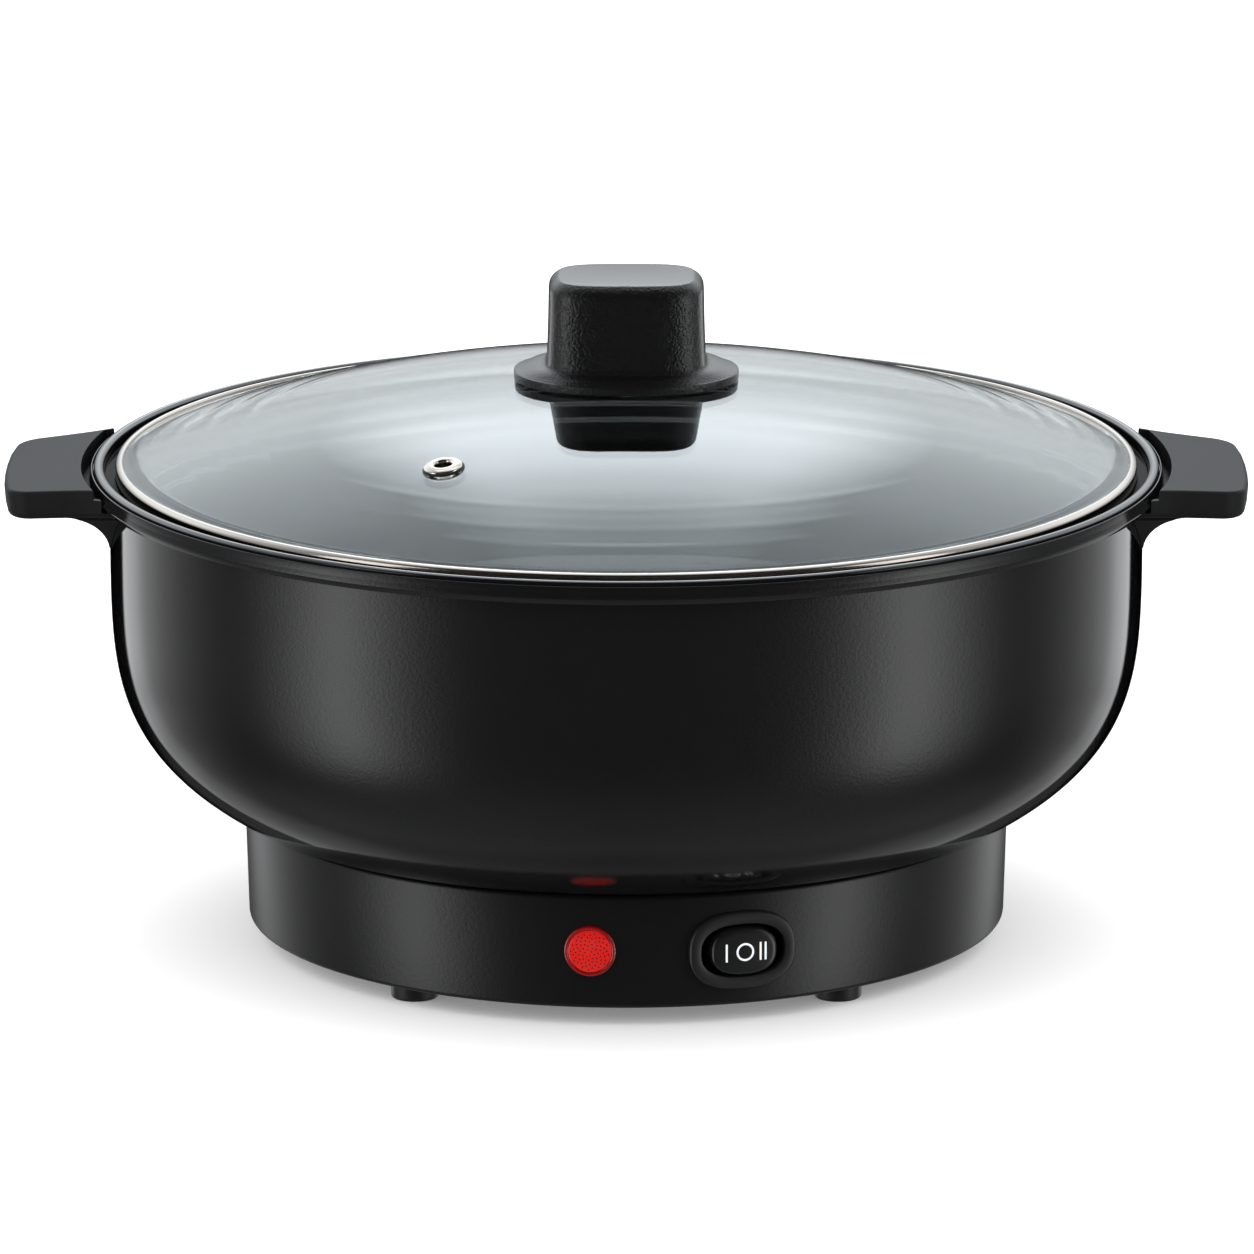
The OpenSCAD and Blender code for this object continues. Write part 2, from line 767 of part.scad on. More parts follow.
module heating_plate() {
    color([0.66, 0.66, 0.68]) difference() {
        rotate_extrude() polygon([
            [0, plate_z], [plate_r - 1, plate_z], [plate_r, plate_z + 1],
            [plate_r, pot_z - 1], [plate_r - 1, pot_z], [0, pot_z]
        ]);
        for (r = [high_r, low_r]) {
            rotate_extrude() translate([r, tube_z]) circle(r = tube_r + snug, $fn = 48);
            at_element_ends(r) translate([0, 0, plate_z - 1])
                cylinder(r = element_end_r + snug, h = element_top - plate_z + 1 + snug);
        }
        around(3, post_ring, 30) translate([0, 0, plate_z - eps])
            cylinder(r = screw_r + snug, h = 6);
        for (x = [-ear_x, ear_x]) translate([x, 0, plate_z - eps]) cylinder(r = 1.45, h = 5);
    }
}

module at_element_ends(r) {
    for (turn = [-tube_gap / 2, tube_gap / 2]) rotate([0, 0, turn]) translate([r, 0, 0])
        children();
}

// Ring heating tube with two ends that pass down through the shield
module element(r) {
    color([0.5, 0.48, 0.45]) union() {
        rotate([0, 0, tube_gap / 2]) rotate_extrude(angle = 360 - tube_gap)
            translate([r, tube_z]) circle(r = tube_r, $fn = 48);
        at_element_ends(r) {
            translate([0, 0, shield_z - 3])
                cylinder(r = element_end_r, h = element_top - shield_z + 3);
            translate([0, 0, pin_z]) cylinder(r = 1.1, h = shield_z - pin_z);
        }
    }
}

module element_high() { element(high_r); }
module element_low() { element(low_r); }

module plate_posts() {
    low = shield_z + shield_t;
    color(steel) around(3, post_ring, 30) translate([0, 0, low])
        tube(3.8, screw_r + 0.3, plate_z - low);
}

module plate_screws() {
    color(steel) around(3, post_ring, 30) translate([0, 0, shield_z])
        pan_screw(screw_r, plate_z - shield_z + 5, 3.6, 2.4);
}

module heat_shield() {
    color([0.7, 0.7, 0.7]) difference() {
        rotate_extrude() polygon([
            [0, shield_z], [shield_r + shield_t, shield_z],
            [shield_r + shield_t, bowl_z - shield_t], [shield_flange_r, bowl_z - shield_t],
            [shield_flange_r, bowl_z], [shield_r, bowl_z],
            [shield_r, shield_z + shield_t], [0, shield_z + shield_t]
        ]);
        translate([0, 0, shield_z - 1]) {
            cylinder(r = 10, h = 3);
            around(3, post_ring, 30) cylinder(r = screw_r + 0.2, h = 3);
            for (r = [high_r, low_r]) at_element_ends(r) cylinder(r = element_end_r + 0.5, h = 3);
        }
        around(4, shield_screw_ring, 45) translate([0, 0, bowl_z - 2])
            cylinder(r = shell_screw_r + 0.3, h = 3);
    }
}

module shield_screws() {
    color(steel) around(4, shield_screw_ring, 45) translate([0, 0, bowl_z - shield_t])
        pan_screw(shell_screw_r, shield_t + pilot_l - 0.8, 3.2, 2);
}

module thermostat() {
    color(dark) difference() {
        union() {
            translate([0, 0, thermostat_z])
                cylinder(r = thermostat_r, h = plate_z - snug - thermostat_z);
            translate([-ear_x - 4, -4, ear_z]) cube([2 * ear_x + 8, 8, plate_z - snug - ear_z]);
        }
        for (x = [-ear_x, ear_x]) translate([x, 0, ear_z - 1]) cylinder(r = 1.6, h = 4);
    }
}

module thermostat_screws() {
    color(steel) for (x = [-ear_x, ear_x]) translate([x, 0, ear_z])
        pan_screw(1.4, plate_z + 4 - ear_z, 2.6, 1.6);
}

module thermal_fuse() {
    color([0.8, 0.75, 0.6]) translate([0, fuse_y, fuse_z]) rotate([0, 90, 0]) {
        cylinder(r = fuse_r, h = 12, center = true);
        cylinder(r = 0.5, h = 36, center = true);
    }
}

module fuse_clip() {
    ear_t = 0.8;
    color(steel) translate([0, fuse_y, 0]) rotate([90, 0, 90])
        linear_extrude(7, center = true) difference() {
            union() {
                translate([0, fuse_z]) circle(r = fuse_r + ear_t + snug, $fn = 48);
                translate([-7, plate_z - snug - ear_t]) square([14, ear_t]);
            }
            translate([0, fuse_z]) circle(r = fuse_r + snug, $fn = 48);
            translate([-9, plate_z - snug]) square([18, 5]);
        }
}

module terminal_block() {
    color(white) difference() {
        translate([-block_w / 2, block_y, cover_top]) cube([block_w, 16, 12]);
        for (x = [-10, 0, 10]) translate([x, block_y - 1, cover_top + 4.5]) rotate([-90, 0, 0])
            cylinder(r = 2.2, h = 18);
        for (x = [-10, 0, 10]) translate([x, block_y + 8, cover_top + 4.5]) cylinder(r = 1.8, h = 8);
    }
}

// Lead that follows the base's wall from one angle to another
module lead(r, z, from, to) {
    rotate([0, 0, from]) rotate_extrude(angle = to - from) translate([r, z])
        circle(r = wire_r, $fn = 24);
}

// Upright sleeve at a lead's end
module riser(r, z, turn, top) {
    rotate([0, 0, turn]) translate([r, 0, z - sleeve_r]) cylinder(r = sleeve_r, h = top - z + sleeve_r);
}

// Sleeve that leads inwards to the terminal block
module inlet_sleeve(r, z, turn, length) {
    rotate([0, 0, turn]) translate([r + sleeve_r, 0, z]) rotate([0, -90, 0])
        cylinder(r = sleeve_r, h = length);
}

module wire_live() {
    front = switch_turn - 90;
    color([0.5, 0.3, 0.2]) union() {
        lead(wire_ring, wire_z, front, 80);
        riser(wire_ring, wire_z, front, switch_z - 3);
        inlet_sleeve(wire_ring, wire_z, 80, 14);
    }
}

module wire_neutral() {
    front = lamp_turn + 270;
    color([0.2, 0.35, 0.7]) union() {
        lead(wire_ring, wire_z, 100, front);
        riser(wire_ring, wire_z, front, lamp_z - 5.5);
        inlet_sleeve(wire_ring, wire_z, 100, 14);
    }
}

module wire_heater() {
    color([0.85, 0.85, 0.8]) lead(high_r, pin_z - wire_r - 0.1, tube_gap / 2, 71);
}

module cord_gland() {
    color(black) on_skirt(180, gland_z) rotate_extrude() polygon([
        [gland_bore, -gland_in], [gland_thread_r, -gland_in], [gland_thread_r, 0.4],
        [11, 0.4], [11, 2.6], [10.2, 3.4], [8.4, 3.4], [6.2, gland_out - 0.8],
        [5.4, gland_out], [gland_bore, gland_out]
    ]);
}

module gland_nut() {
    color(dark) on_skirt(180, gland_z) translate([0, 0, -7]) difference() {
        cylinder(r = 11, h = 3.6, $fn = 6);
        translate([0, 0, -1]) cylinder(r = gland_thread_r + 0.05, h = 6);
    }
}

outer_shell();
base_skirt();
bottom_cover();
inner_pot();
handle_left();
handle_right();
handle_screws();
lid_glass();
lid_ring();
vent_eyelet();
vent_washer();
knob_grip();
knob_seat();
knob_insert();
knob_screw();
knob_washer();
lamp_lens();
lamp_bezel();
lamp_body();
lamp_clip();
switch_bezel();
switch_body();
switch_rocker();
rocker_marks();
switch_terminals();
heating_plate();
element_high();
element_low();
plate_posts();
plate_screws();
heat_shield();
shield_screws();
thermostat();
thermostat_screws();
thermal_fuse();
fuse_clip();
terminal_block();
wire_live();
wire_neutral();
wire_heater();
cord_gland();
gland_nut();
foot_front_left();
foot_front_right();
foot_rear_left();
foot_rear_right();
cover_screws();
shell_screws();
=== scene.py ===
# %% [markdown]
# # An electric hot pot with a glass lid
#
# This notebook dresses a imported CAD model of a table-top hot pot. The CAD model fixes every size and
# every joint. Here each visible piece gets a smoother mesh and each surface gets its finish: satin
# moulded plastic, glossy pot coating, clear glass, polished steel, rubber and a red signal lamp.
#
# We start by loading the model. Its nodes sit at the origin with their place in their meshes, so a
# new piece built from the same measures lands where the CAD piece was.

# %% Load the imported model
import json
import math

import bmesh
import bpy
from mathutils import Matrix, Vector


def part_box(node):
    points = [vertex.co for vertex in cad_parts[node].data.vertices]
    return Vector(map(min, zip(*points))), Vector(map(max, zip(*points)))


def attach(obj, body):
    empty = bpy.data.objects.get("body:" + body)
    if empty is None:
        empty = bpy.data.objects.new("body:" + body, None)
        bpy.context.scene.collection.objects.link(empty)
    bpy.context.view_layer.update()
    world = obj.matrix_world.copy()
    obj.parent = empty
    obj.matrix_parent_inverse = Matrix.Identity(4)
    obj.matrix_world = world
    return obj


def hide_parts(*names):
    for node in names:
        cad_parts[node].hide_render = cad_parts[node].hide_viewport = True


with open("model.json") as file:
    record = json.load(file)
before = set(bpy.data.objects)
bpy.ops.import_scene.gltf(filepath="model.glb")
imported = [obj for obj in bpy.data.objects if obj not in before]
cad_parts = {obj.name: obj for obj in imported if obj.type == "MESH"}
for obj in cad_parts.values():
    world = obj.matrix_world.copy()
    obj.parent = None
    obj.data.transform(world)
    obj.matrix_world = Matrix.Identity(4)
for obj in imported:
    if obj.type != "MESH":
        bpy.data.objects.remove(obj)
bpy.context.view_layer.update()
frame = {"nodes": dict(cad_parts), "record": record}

# %% [markdown]
# ## Measures
#
# A part like this is dimensioned in millimetres, and Blender works in metres. All numbers below are
# millimetres, and one factor turns them into metres where a vertex is made. The main heights and
# radii are read from the CAD nodes, so that a changed model moves the new pieces with it.

# %% Main measures, in millimetres
MM = 0.001


def low_mm(node):
    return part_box(node)[0] / MM


def high_mm(node):
    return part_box(node)[1] / MM


rim_r = high_mm("inner_pot").x
rim_z = high_mm("inner_pot").z
pot_z = low_mm("inner_pot").z
lid_r = high_mm("lid_ring").x
ring_z = low_mm("lid_ring").z
ring_top = high_mm("lid_ring").z
crown_z = high_mm("lid_glass").z
collar_r = high_mm("outer_shell").x
collar_top = high_mm("outer_shell").z
bowl_z = low_mm("outer_shell").z
skirt_bottom = low_mm("base_skirt").z
seam_z = high_mm("base_skirt").z
base_r = high_mm("base_skirt").x
handle_top_z = rim_z - 1.7
handle_bottom_z = handle_top_z - 8.5
print(f"rim {rim_r:.1f} at {rim_z:.1f}, lid {lid_r:.1f}, crown {crown_z:.1f}, base {base_r:.1f}")

# %% [markdown]
# ## The camera
#
# The picture is a straight product shot: a long lens from the front, a little above the rim. The
# rim's ellipse gives the tilt, because its height over its width is the sine of the angle that we
# look down. A long lens far away keeps the sides of the bowl almost parallel.

# %% Camera
CAMERA_DOWN = 13.75
LENS = 322.4
CAMERA_PLACE = (0.0002, -3.2167, 0.8785)

camera_data = bpy.data.cameras.new("camera")
camera_data.lens = LENS
camera_data.sensor_width = 36
camera_data.clip_end = 100
camera = bpy.data.objects.new("camera", camera_data)
tilt = math.radians(CAMERA_DOWN)
camera.location = CAMERA_PLACE
camera.rotation_euler = (math.pi / 2 - tilt, 0, 0)
bpy.context.scene.collection.objects.link(camera)
bpy.context.scene.camera = camera
bpy.context.scene.view_settings.view_transform = "Standard"
print("camera", CAMERA_PLACE, "lens", LENS)

# %% [markdown]
# ## The studio
#
# A black glossy thing shows its surroundings more than its own colour. The studio therefore has two
# jobs. To the camera, and through the glass, it is a white room. To a mirror-like ray it is a dark
# room with cards hung in it:
#
# - *front cards*, one at each side of the camera, which the bowl mirrors half way to its edge
# - *side cards*, which give the bright bands beside the silhouette
# - *a floor card*, a dim sheet under everything
# - *a back card*, wide and high, with the brighter *glass card* in its middle, for the lid
#
# A flag keeps the side cards away from rays that only graze a wall. It leaves a thin dark line along
# the silhouette, without which a black bowl would melt into the white room.
#
# Real lamps could do this too, but each would also light the floor. The world can give each kind of
# ray its own picture, because Light Path says which kind is asking. A card is drawn from the direction
# of the ray, as an azimuth from the front round to the back and a height from the ground to the sky.

# %% Small helpers for shader nodes
def new_node(tree, kind, **settings):
    """A shader node, with its properties set by name."""
    node = tree.nodes.new(kind)
    for name, value in settings.items():
        setattr(node, name, value)
    return node


def plug(tree, source, target):
    """Links an output to an input, or sets the input where source is a plain value."""
    if isinstance(source, (int, float, tuple, list)):
        target.default_value = source
    else:
        tree.links.new(source, target)


def maths(tree, operation, *values, clamp=False):
    node = new_node(tree, "ShaderNodeMath", operation=operation, use_clamp=clamp)
    for value, socket in zip(values, node.inputs):
        plug(tree, value, socket)
    return node.outputs[0]


def ramp(tree, value, stops, smooth=True):
    """A grey ColorRamp: stops are (place, brightness) from 0 to 1."""
    node = new_node(tree, "ShaderNodeValToRGB")
    node.color_ramp.interpolation = "EASE" if smooth else "LINEAR"
    elements = node.color_ramp.elements
    while len(elements) > 1:
        elements.remove(elements[-1])
    elements[0].position = stops[0][0]
    elements[0].color = (stops[0][1],) * 3 + (1,)
    for place, level in stops[1:]:
        elements.new(place).color = (level,) * 3 + (1,)
    plug(tree, value, node.inputs["Fac"])
    return node.outputs["Color"]


def mix_colour(tree, factor, first, second, blend="MIX"):
    node = new_node(tree, "ShaderNodeMix", data_type="RGBA", blend_type=blend)
    plug(tree, factor, node.inputs["Factor"])
    plug(tree, first, node.inputs[6])
    plug(tree, second, node.inputs[7])
    return node.outputs[2]


# %% World: the direction of a ray
ROOM_LEVEL = 1.65
WHITE = (1, 1, 1, 1)
SIDE_TINT = (0.975, 0.985, 1.0, 1)
BACK_TINT = (0.91, 0.965, 1.0, 1)
FLAG_INNER = 26.3
FLAG_OUTER = 28.0

world = bpy.data.worlds.new("studio")
world.use_nodes = True
bpy.context.scene.world = world
sky = world.node_tree
sky.nodes.clear()
direction = new_node(sky, "ShaderNodeTexCoord").outputs["Generated"]
split = new_node(sky, "ShaderNodeSeparateXYZ")
plug(sky, direction, split.inputs[0])
sideways = maths(sky, "ABSOLUTE", split.outputs["X"])
towards = maths(sky, "MULTIPLY", split.outputs["Y"], -1.0)
azimuth = maths(sky, "DIVIDE", maths(sky, "ARCTAN2", sideways, towards), math.pi)
height = maths(sky, "DIVIDE", maths(sky, "ARCSINE", split.outputs["Z"]), math.pi)
height = maths(sky, "ADD", height, 0.5)

straight_on = new_node(sky, "ShaderNodeVectorMath", operation="DOT_PRODUCT")
plug(sky, direction, straight_on.inputs[0])
straight_on.inputs[1].default_value = (0, math.cos(tilt), -math.sin(tilt))
off_axis = maths(sky, "DIVIDE", maths(sky, "ARCCOSINE", straight_on.outputs["Value"]), math.pi)
flag = ramp(sky, off_axis, [(FLAG_INNER / 180, 0.0), (FLAG_OUTER / 180, 1.0)])
print("flag: rays turned by less than", FLAG_INNER, "degrees miss the side cards")


# %% World: the cards
def card(level, turns, rises, tint):
    """A card that fades across its width and its height. Stops are (degrees, share of the level)."""
    across = ramp(sky, azimuth, [(turn / 180, share) for turn, share in turns])
    along = ramp(sky, height, [((rise + 90) / 180, share) for rise, share in rises])
    shape = mix_colour(sky, 1.0, across, along, "MULTIPLY")
    return mix_colour(sky, 1.0, shape, tuple(level * c for c in tint), "MULTIPLY")


front_cards = card(
    5.0, [(42, 0.0), (57, 0.37), (63, 1.0), (68, 1.0), (75, 0.45), (86, 0.09), (95, 0.0)],
    [(-40, 0.0), (-29, 0.8), (-24, 1.0), (2, 1.0), (10, 0.0)], SIDE_TINT)
side_cards = card(
    1.65, [(88, 0.08), (104, 0.18), (115, 0.33), (125, 0.5), (133, 0.66), (143, 1.0)],
    [(-70, 0.05), (-46, 0.2), (-36, 0.28), (-28, 0.42), (-20, 0.66), (-14, 1.0), (-3, 1.0), (2, 0.0)],
    SIDE_TINT)
side_cards = mix_colour(sky, 1.0, side_cards, flag, "MULTIPLY")
floor_card = card(
    0.38, [(0, 0.8), (40, 1.0), (110, 0.9), (140, 0.5), (180, 0.45)],
    [(-90, 1.0), (-55, 1.0), (-45, 0.8), (-36, 0.45), (-28, 0.3), (-20, 0.0)], SIDE_TINT)
back_card = card(
    1.6, [(60, 0.0), (95, 0.4), (125, 1.0)],
    [(-8, 0.0), (0, 0.25), (5, 0.42), (9, 0.62), (14, 0.85), (20, 1.0), (32, 0.95), (45, 0.7),
     (60, 0.5), (90, 0.4)], BACK_TINT)
glass_card = card(
    4.6, [(166, 0.0), (175, 1.0)],
    [(6, 0.0), (14, 0.34), (20, 0.56), (24, 0.80), (28, 0.97), (33, 1.0), (38, 0.85), (42, 0.64),
     (46, 0.44), (50, 0.30), (58, 0.0)], BACK_TINT)
cards = front_cards
for one in (side_cards, floor_card, back_card, glass_card):
    cards = mix_colour(sky, 1.0, cards, one, "LIGHTEN")
print("shader nodes in the studio:", len(sky.nodes))


# %% World: which ray sees what
def background(colour, strength=1.0):
    node = new_node(sky, "ShaderNodeBackground")
    plug(sky, colour, node.inputs["Color"])
    node.inputs["Strength"].default_value = strength
    return node.outputs[0]


def choose(factor, first, second):
    """The first shader where the factor is 0 and the second where it is 1."""
    node = new_node(sky, "ShaderNodeMixShader")
    for source, socket in zip((factor, first, second), node.inputs):
        plug(sky, source, socket)
    return node.outputs[0]


rays = new_node(sky, "ShaderNodeLightPath").outputs
looks_through = maths(sky, "MAXIMUM", rays["Is Camera Ray"], rays["Is Transmission Ray"])
around = choose(rays["Is Glossy Ray"], background(WHITE, ROOM_LEVEL), background(cards))
around = choose(looks_through, around, background(WHITE))
plug(sky, around, new_node(sky, "ShaderNodeOutputWorld").inputs["Surface"])
print("world ready, room level", ROOM_LEVEL)

# %% [markdown]
# ## The floor
#
# The floor is a plain pale sheet, one grid far larger than the picture. It takes the shadow as any matt
# surface does. A little light of its own, for the camera alone, lifts it to the white of the room
# without lighting the pot. Mirror-like rays pass it by and see the floor card of the studio instead.
# A photographer lays dark card before a black product for the same reason.

# %% Floor
FLOOR_SIZE = 60.0
FLOOR_COLOUR = (0.85, 0.85, 0.85, 1)
FLOOR_GLOW = 0.18

floor_mesh = bpy.data.meshes.new("floor")
bm = bmesh.new()
bmesh.ops.create_grid(bm, x_segments=2, y_segments=2, size=FLOOR_SIZE / 2)
bm.to_mesh(floor_mesh)
bm.free()
floor = bpy.data.objects.new("floor", floor_mesh)
bpy.context.scene.collection.objects.link(floor)
floor.visible_glossy = False

floor_material = bpy.data.materials.new("floor_paper")
floor_material.use_nodes = True
tree = floor_material.node_tree
tree.nodes.clear()
matt = new_node(tree, "ShaderNodeBsdfDiffuse")
matt.inputs["Color"].default_value = FLOOR_COLOUR
glow = new_node(tree, "ShaderNodeEmission")
rays = new_node(tree, "ShaderNodeLightPath")
plug(tree, maths(tree, "MULTIPLY", rays.outputs["Is Camera Ray"], FLOOR_GLOW), glow.inputs["Strength"])
both = new_node(tree, "ShaderNodeAddShader")
plug(tree, matt.outputs[0], both.inputs[0])
plug(tree, glow.outputs[0], both.inputs[1])
plug(tree, both.outputs[0], new_node(tree, "ShaderNodeOutputMaterial").inputs["Surface"])
floor_mesh.materials.append(floor_material)
print("floor", FLOOR_SIZE, "m wide")

# %% [markdown]
# ## Three soft lamps
#
# Two large softboxes stand at the front left and the front right. On satin plastic each gives one
# broad, faint patch of light, about half way from the middle of the bowl to its edge. A third, weaker
# lamp overhead draws the tops of the handles and of the knob. They are area lamps, because a patch has
# the soft edge of the lamp that makes it. Their strength is given as a radiance, so a lamp can be made
# larger without looking brighter.

# %% Lamps
POT_MIDDLE = Vector((0, 0, 0.1))


def softbox(name, turn, height_deg, distance, width, depth, radiance):
    """An area lamp aimed at the pot, turned from the front and raised, with a plain radiance."""
    data = bpy.data.lights.new(name, "AREA")
    data.shape = "RECTANGLE"
    data.size = width
    data.size_y = depth
    data.energy = radiance * math.pi * width * depth
    lamp = bpy.data.objects.new(name, data)
    a = math.radians(turn)
    e = math.radians(height_deg)
    away = Vector((math.sin(a) * math.cos(e), -math.cos(a) * math.cos(e), math.sin(e)))
    lamp.location = POT_MIDDLE + away * distance
    lamp.rotation_euler = away.to_track_quat("Z", "Y").to_euler()
    lamp.visible_camera = False
    bpy.context.scene.collection.objects.link(lamp)
    print(name, "at", [round(c, 2) for c in lamp.location])


for side, turn in (("left", -60), ("right", 64)):
    softbox(f"softbox_{side}", turn, height_deg=22, distance=1.7, width=0.55, depth=1.2, radiance=1.6)
softbox("overhead", 180, height_deg=72, distance=1.8, width=1.4, depth=0.8, radiance=0.8)

# %% [markdown]
# ## Finishes, part one: effects that several materials share
#
# A node group is a small machine with named inputs and outputs. The groups here put out only heights
# and masks, and the shader itself stays in each material, where its plain numbers are set on its own
# sockets.
#
# - *Moulded grain*: the fine spark-eroded texture of a plastic mould.
# - *Edge polish*: corners that hands and packing have rubbed a little smoother.
# - *Cloud*: slow unevenness, which no real surface is free of.
# - *Turned lines*: rings left by a lathe, or by a polishing wheel on a round part.

# %% Helpers for shader node groups
def new_group(name, inputs, outputs):
    """A shader node group with float and vector inputs and float outputs. Returns tree, in, out."""
    group = bpy.data.node_groups.new(name, "ShaderNodeTree")
    for label, kind, value in inputs:
        socket = group.interface.new_socket(label, in_out="INPUT", socket_type=kind)
        if kind == "NodeSocketFloat":
            socket.default_value = value
    for label in outputs:
        group.interface.new_socket(label, in_out="OUTPUT", socket_type="NodeSocketFloat")
    return group, group.nodes.new("NodeGroupInput"), group.nodes.new("NodeGroupOutput")


def noise(tree, position, scale, detail=2.0, rough=0.5):
    node = new_node(tree, "ShaderNodeTexNoise")
    plug(tree, position, node.inputs["Vector"])
    plug(tree, scale, node.inputs["Scale"])
    node.inputs["Detail"].default_value = detail
    node.inputs["Roughness"].default_value = rough
    return node.outputs[0]


# %% Moulded grain
def make_grain_group():
    tree, given, out = new_group(
        "moulded_grain",
        [("Position", "NodeSocketVector", None), ("Grains per metre", "NodeSocketFloat", 1200.0)],
        ["Height", "Mottle"])
    scale = given.outputs["Grains per metre"]
    fine = noise(tree, given.outputs["Position"], scale, 2.0, 0.45)
    cells = new_node(tree, "ShaderNodeTexVoronoi", feature="SMOOTH_F1")
    plug(tree, given.outputs["Position"], cells.inputs["Vector"])
    plug(tree, maths(tree, "MULTIPLY", scale, 0.62), cells.inputs["Scale"])
    cells.inputs["Smoothness"].default_value = 0.7
    pits = maths(tree, "MULTIPLY", cells.outputs["Distance"], 0.55)
    plug(tree, maths(tree, "ADD", fine, pits), out.inputs["Height"])
    plug(tree, noise(tree, given.outputs["Position"], maths(tree, "MULTIPLY", scale, 0.11), 1.0),
         out.inputs["Mottle"])
    return tree


# %% Edge polish and cloud
FLAT_POINTINESS = 0.515


def make_edge_group():
    tree, given, out = new_group("edge_polish", [("Sharpness", "NodeSocketFloat", 10.0)], ["Mask"])
    point = new_node(tree, "ShaderNodeNewGeometry").outputs["Pointiness"]
    raised = maths(tree, "SUBTRACT", point, FLAT_POINTINESS)
    mask = maths(tree, "MULTIPLY", raised, given.outputs["Sharpness"], clamp=True)
    plug(tree, mask, out.inputs["Mask"])
    return tree


def make_cloud_group():
    tree, given, out = new_group(
        "cloud", [("Position", "NodeSocketVector", None), ("Size", "NodeSocketFloat", 0.06)],
        ["Cloud", "Specks"])
    scale = maths(tree, "DIVIDE", 1.0, given.outputs["Size"])
    plug(tree, noise(tree, given.outputs["Position"], scale, 3.0), out.inputs["Cloud"])
    dust = noise(tree, given.outputs["Position"], maths(tree, "MULTIPLY", scale, 60.0), 1.0)
    plug(tree, ramp(tree, dust, [(0.72, 0.0), (0.80, 1.0)]), out.inputs["Specks"])
    return tree


# %% Turned lines
def make_turned_group():
    tree, given, out = new_group(
        "turned_lines",
        [("Position", "NodeSocketVector", None), ("Lines per metre", "NodeSocketFloat", 900.0)],
        ["Height", "Streak"])
    parts = new_node(tree, "ShaderNodeSeparateXYZ")
    plug(tree, given.outputs["Position"], parts.inputs[0])
    flat = new_node(tree, "ShaderNodeCombineXYZ")
    plug(tree, parts.outputs["X"], flat.inputs[0])
    plug(tree, parts.outputs["Y"], flat.inputs[1])
    radius = new_node(tree, "ShaderNodeVectorMath", operation="LENGTH")
    plug(tree, flat.outputs[0], radius.inputs[0])
    across = new_node(tree, "ShaderNodeCombineXYZ")
    plug(tree, radius.outputs["Value"], across.inputs[0])
    plug(tree, parts.outputs["Z"], across.inputs[1])
    lines = given.outputs["Lines per metre"]
    plug(tree, noise(tree, across.outputs[0], lines, 2.0, 0.6), out.inputs["Height"])
    wide = maths(tree, "MULTIPLY", lines, 0.2)
    plug(tree, noise(tree, across.outputs[0], wide, 2.0), out.inputs["Streak"])
    return tree


GRAIN = make_grain_group()
EDGE = make_edge_group()
CLOUD = make_cloud_group()
TURNED = make_turned_group()
print("groups:", [g.name for g in (GRAIN, EDGE, CLOUD, TURNED)])

# %% [markdown]
# ## Finishes, part two: one function per kind of material
#
# Each function builds a Principled BSDF and wires the shared effects into colour, roughness and
# normal. The materials are kept by name in FINISHES, so a piece can ask for its finish by its slot.

# %% Materials: the common core
FINISHES = {}


def opaque(colour):
    return tuple(colour) + (1,)


def start_material(name, colour, metallic=0.0, **sockets):
    """A material with its Principled BSDF and Object coordinates. Extra sockets are set by name."""
    material = bpy.data.materials.new(name)
    material.use_nodes = True
    tree = material.node_tree
    shader = tree.nodes["Principled BSDF"]
    shader.inputs["Base Color"].default_value = opaque(colour)
    shader.inputs["Metallic"].default_value = metallic
    for label, value in sockets.items():
        shader.inputs[label].default_value = value
    position = new_node(tree, "ShaderNodeTexCoord").outputs["Object"]
    material.diffuse_color = opaque(colour)
    FINISHES[name] = material
    return tree, shader, position


def use_group(tree, group, position=None, **values):
    node = new_node(tree, "ShaderNodeGroup", node_tree=group)
    if position is not None:
        plug(tree, position, node.inputs["Position"])
    for label, value in values.items():
        node.inputs[label.replace("_", " ")].default_value = value
    return node.outputs


def bump(tree, shader, height, depth_mm, strength=1.0):
    node = new_node(tree, "ShaderNodeBump")
    node.inputs["Distance"].default_value = depth_mm * MM
    plug(tree, strength, node.inputs["Strength"])
    plug(tree, height, node.inputs["Height"])
    plug(tree, node.outputs[0], shader.inputs["Normal"])


# %% [markdown]
# ## Satin plastic
#
# Most of this pot is one family of black plastic, from the nearly polished rocker to the leather grain
# of the knob. Looked at along its surface, such plastic mirrors far more sharply than face on, because
# the small pits hide behind each other. Layer Weight gives that angle, so roughness and bump can fall
# towards the silhouette. A plain rough plastic would lose the bright bands at the bowl's sides.

# %% Satin plastic
FACE_ON = 0.30
ALONG = 0.74
MOTTLE_TONE = 1.25


